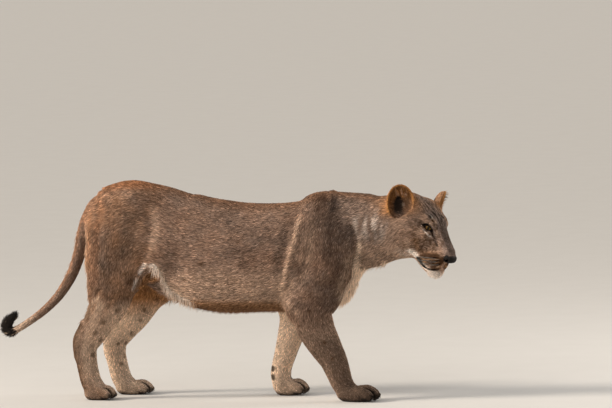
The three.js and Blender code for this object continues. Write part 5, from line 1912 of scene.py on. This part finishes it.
WHISKER_ROWS, IN_A_ROW = (-74, -83, -92), 5  # the rows' heights on the cheek, in the head's own frame
OVER_EYE = 3
hairs = []
for side in (-1, 1):
    for row, height in enumerate(WHISKER_ROWS):
        for place in range(IN_A_ROW):
            spot = from_head(((101 - 10 * place) + 2 * row, side * (31 + 4.5 * place), height - 3.5 * place))
            spot, _ = onto(field, spot[None], np.array([12.0]))
            way = HEAD_TURN @ unit((-0.25 - 0.12 * place, side * 0.85, -0.22 - 0.10 * row))
            bend = HEAD_TURN @ np.array((-0.45, -0.10 * side, -0.18))
            hairs.append(whisker(spot[0] - way * 3, way, bend, 52 + 9 * place + 8 * rng.random(), 0.30))
    for k in range(OVER_EYE):
        spot, _ = onto(field, from_head((16 + 5 * k, side * 40, 43))[None], np.array([12.0]))
        way = HEAD_TURN @ unit((0.10 + 0.1 * k, side * 0.55, 0.8))
        bend = HEAD_TURN @ np.array((-0.5, 0.2 * side, -0.1))
        hairs.append(whisker(spot[0] - way * 3, way, bend, 30 + 6 * k, 0.35))
points, quads = joined(hairs)
pale_horn = horn_material("whisker", (0.55, 0.50, 0.44), (0.80, 0.77, 0.72))
make_piece("whiskers", to_frame(points), quads, pale_horn, "coat_pale")

CLAW_REACH = [(7, 0.44), (10.5, 0.40), (13.5, 0.33), (15.5, 0.25), (16, 0.20)]  # past the toe, and height
claws = []
for paw in paws.values():
    for across, tip, lift in TOES:
        path = [paw.at(tip + f / paw.size[0], across, u * lift) for f, u in CLAW_REACH]
        claws.append(tube(path, (2.0, 2.2, 1.8, 1.1, 0.3), 8, paw.turn @ (0, 1, 0)))
points, quads = joined(claws)
dark_horn = horn_material("horn", (0.03, 0.024, 0.02), (0.10, 0.08, 0.065))
make_piece("claws", to_frame(points), quads, dark_horn, "coat_dark")

# ---------------------------------------------------------------------------------- eyes

eye_look = eye_material(EYE_RADIUS)


CORNEA = 0.075  # how far it bulges, to the eyeball's radius


def eyeball(name, centre, gaze):
    """A ball with the cornea's bulge, +Z of its own axes along the gaze."""
    rings, segments = 48, 64
    points, quads = [(0, 0, 1)], []
    for i in range(1, rings):
        a = math.pi * i / rings
        bulge = 1 + CORNEA * float(step(0.72, 0.2, a))
        for j in range(segments):
            b = 2 * math.pi * j / segments
            points.append((math.sin(a) * math.cos(b), math.sin(a) * math.sin(b), math.cos(a)))
            points[-1] = tuple(v * bulge for v in points[-1])
    points[0] = (0, 0, 1 + CORNEA)
    points.append((0, 0, -1))
    ring = lambda i, j: 1 + (i - 1) * segments + j % segments
    for j in range(segments):
        quads.append((0, ring(1, j), ring(1, j + 1), 0))
        quads.append((len(points) - 1, ring(rings - 1, j + 1), ring(rings - 1, j), len(points) - 1))
        for i in range(1, rings - 1):
            quads.append((ring(i, j), ring(i + 1, j), ring(i + 1, j + 1), ring(i, j + 1)))
    look = make_piece(name, np.array(points) * EYE_RADIUS * MM, quads, eye_look, "eye")
    axes = Matrix(axes_from((0, 0, 1), gaze).tolist()).to_4x4()
    return look, Matrix.Translation(Vector(to_frame(centre))) @ axes


for (node, side), centre in zip((("eye_right", -1), ("eye_left", 1)), eye_centres):
    gaze = HEAD_TURN @ (GAZE * (1, side, 1))
    ball, place = eyeball(node + "_ball", centre, gaze)
    ball.matrix_world = place
    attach(ball, BODY)
    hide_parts(node)

# ---------------------------------------------------------------------------------- nose leather

NOSTRIL = Ball((124, 15, -65), (15, 6.2, 6.6), turn(math.radians(40), math.radians(8)).T)
NOSTRIL_TAIL = [(114, 17, -66), (107, 23, -64), (101, 25.5, -60)]


def nose_field(p):
    q = to_head(p)
    d = nose_shape(q) - 0.6
    pair = mirrored(q)
    d = smax(d, -NOSTRIL(pair), 2.0)
    gap, _ = path_distance(pair, NOSTRIL_TAIL)
    d = smax(d, 2.4 - gap, 2.0)
    d += 1.3 * np.exp(-((q[:, 1] / 1.6) ** 2)) * step(-58, -66, q[:, 2])
    return smax(d, 101 - q[:, 0], 2.0) * HEAD_SCALE


nose_lo, nose_hi = from_head(NOSE[1][:3]) - 45, from_head(NOSE[1][:3]) + 45
nose_points, nose_faces, nose_normals = surface(nose_field, nose_lo, nose_hi, 1.6)
nose_q = to_head(nose_points)
upper = step(0.35, 0.8, (nose_normals @ HEAD_TURN[:, 2]))
nose_colour = mix(TONES["black"] * 0.8, np.array((0.034, 0.024, 0.021)), (upper * 0.8)[:, None])
# painted shade: the insides of the nostrils darkened further
nostril_shade = step(3.5, 1.0, np.abs(NOSTRIL(mirrored(nose_q)))) * step(9, 5, np.abs(nose_q[:, 2] + 65))
nose_colour = mix(nose_colour, np.array((0.003, 0.002, 0.002)), nostril_shade[:, None])
nose_look = leather_material("nose_leather")
nose = make_piece("nose_leather", to_frame(nose_points), nose_faces, nose_look, "nose_leather", nose_colour)
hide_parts("nose")

# ---------------------------------------------------------------------------------- stage

FIELD_OF_VIEW = 2.661  # metres across the picture at the animal
DISTANCE = 20.0
VIEW_TURN, VIEW_RISE, VIEW_ROLL = (math.radians(v) for v in (12.0, 5.0, -1.25))
VIEW_POINT = (0.0, 0.0, 0.45)  # inside the trunk, in metres from the middle of the trunk on the floor
VIEW_SHIFT = (0.3087, 0.3948)  # how far right and up of that point the picture's middle is

KEY_FROM = (-1.0, -0.30, 0.62)  # the key light grazes the near side from behind and above
KEY_POWER, KEY_SPREAD, KEY_COLOUR = 2.45, math.radians(12), (1.0, 0.90, 0.78)
AREA_LIGHTS = [  # name, place, aim, size, power and colour
    ("fill", (-2.0, -4.4, 3.2), (0, 0, 0.5), 3.0, 58, (1.0, 0.96, 0.94)),
    ("side", (4.5, 1.5, 2.4), (0.3, 0, 0.6), 2.0, 75, (1.0, 0.96, 0.92)),
    ("rim", (-5.4, -2.5, 1.5), (0.0, 0, 0.3), 2.4, 165, (1.0, 0.90, 0.78)),
]
WORLD_COLOUR, WORLD_POWER = (0.80, 0.78, 0.75, 1), 0.42
FLOOR_SIDE = 240


def add_camera():
    data = bpy.data.cameras.new("camera")
    data.sensor_width = 36.0
    data.lens = data.sensor_width * DISTANCE / FIELD_OF_VIEW
    data.clip_end = 200.0
    camera = bpy.data.objects.new("camera", data)
    bpy.context.scene.collection.objects.link(camera)
    right = Vector((math.cos(VIEW_TURN), math.sin(VIEW_TURN), 0))
    ahead = Vector((-math.sin(VIEW_TURN), math.cos(VIEW_TURN), 0)) * math.cos(VIEW_RISE)
    ahead.z = -math.sin(VIEW_RISE)
    up = right.cross(ahead)
    c, s = math.cos(VIEW_ROLL), math.sin(VIEW_ROLL)
    right, up = right * c + up * s, up * c - right * s
    middle = Vector(VIEW_POINT) + Vector(OFFSET) + right * VIEW_SHIFT[0] + up * VIEW_SHIFT[1]
    camera.matrix_world = Matrix.Translation(middle - ahead * DISTANCE) @ Matrix(
        (right, up, -ahead)
    ).transposed().to_4x4()
    bpy.context.scene.camera = camera


def add_light(name, place, aim, size, power, colour):
    data = bpy.data.lights.new(name, "AREA")
    data.shape, data.size, data.energy, data.color = "SQUARE", size, power, colour
    light = bpy.data.objects.new(name, data)
    light.location = place
    light.rotation_euler = (Vector(aim) - Vector(place)).to_track_quat("-Z", "Y").to_euler()
    bpy.context.scene.collection.objects.link(light)


def add_stage():
    bpy.ops.mesh.primitive_plane_add(size=FLOOR_SIDE)
    floor = bpy.context.object
    floor.name = "studio_floor"
    floor.data.materials.append(floor_material())
    floor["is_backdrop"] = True
    sun = bpy.data.lights.new("key", "SUN")
    sun.energy, sun.angle, sun.color = KEY_POWER, KEY_SPREAD, KEY_COLOUR
    key = bpy.data.objects.new("key", sun)
    key.rotation_euler = (-Vector(KEY_FROM)).to_track_quat("-Z", "Y").to_euler()
    bpy.context.scene.collection.objects.link(key)
    for row in AREA_LIGHTS:
        add_light(*row)
    world = bpy.data.worlds.new("studio")
    world.use_nodes = True
    set_values(world.node_tree.nodes["Background"], Color=WORLD_COLOUR, Strength=WORLD_POWER)
    bpy.context.scene.world = world
    bpy.context.scene.view_settings.view_transform = "Standard"


add_camera()
add_stage()

# ---------------------------------------------------------------------------------- end

shown_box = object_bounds()
rows = {"cad": [list(v) for v in cad_box], "visual": [list(v) for v in shown_box]}
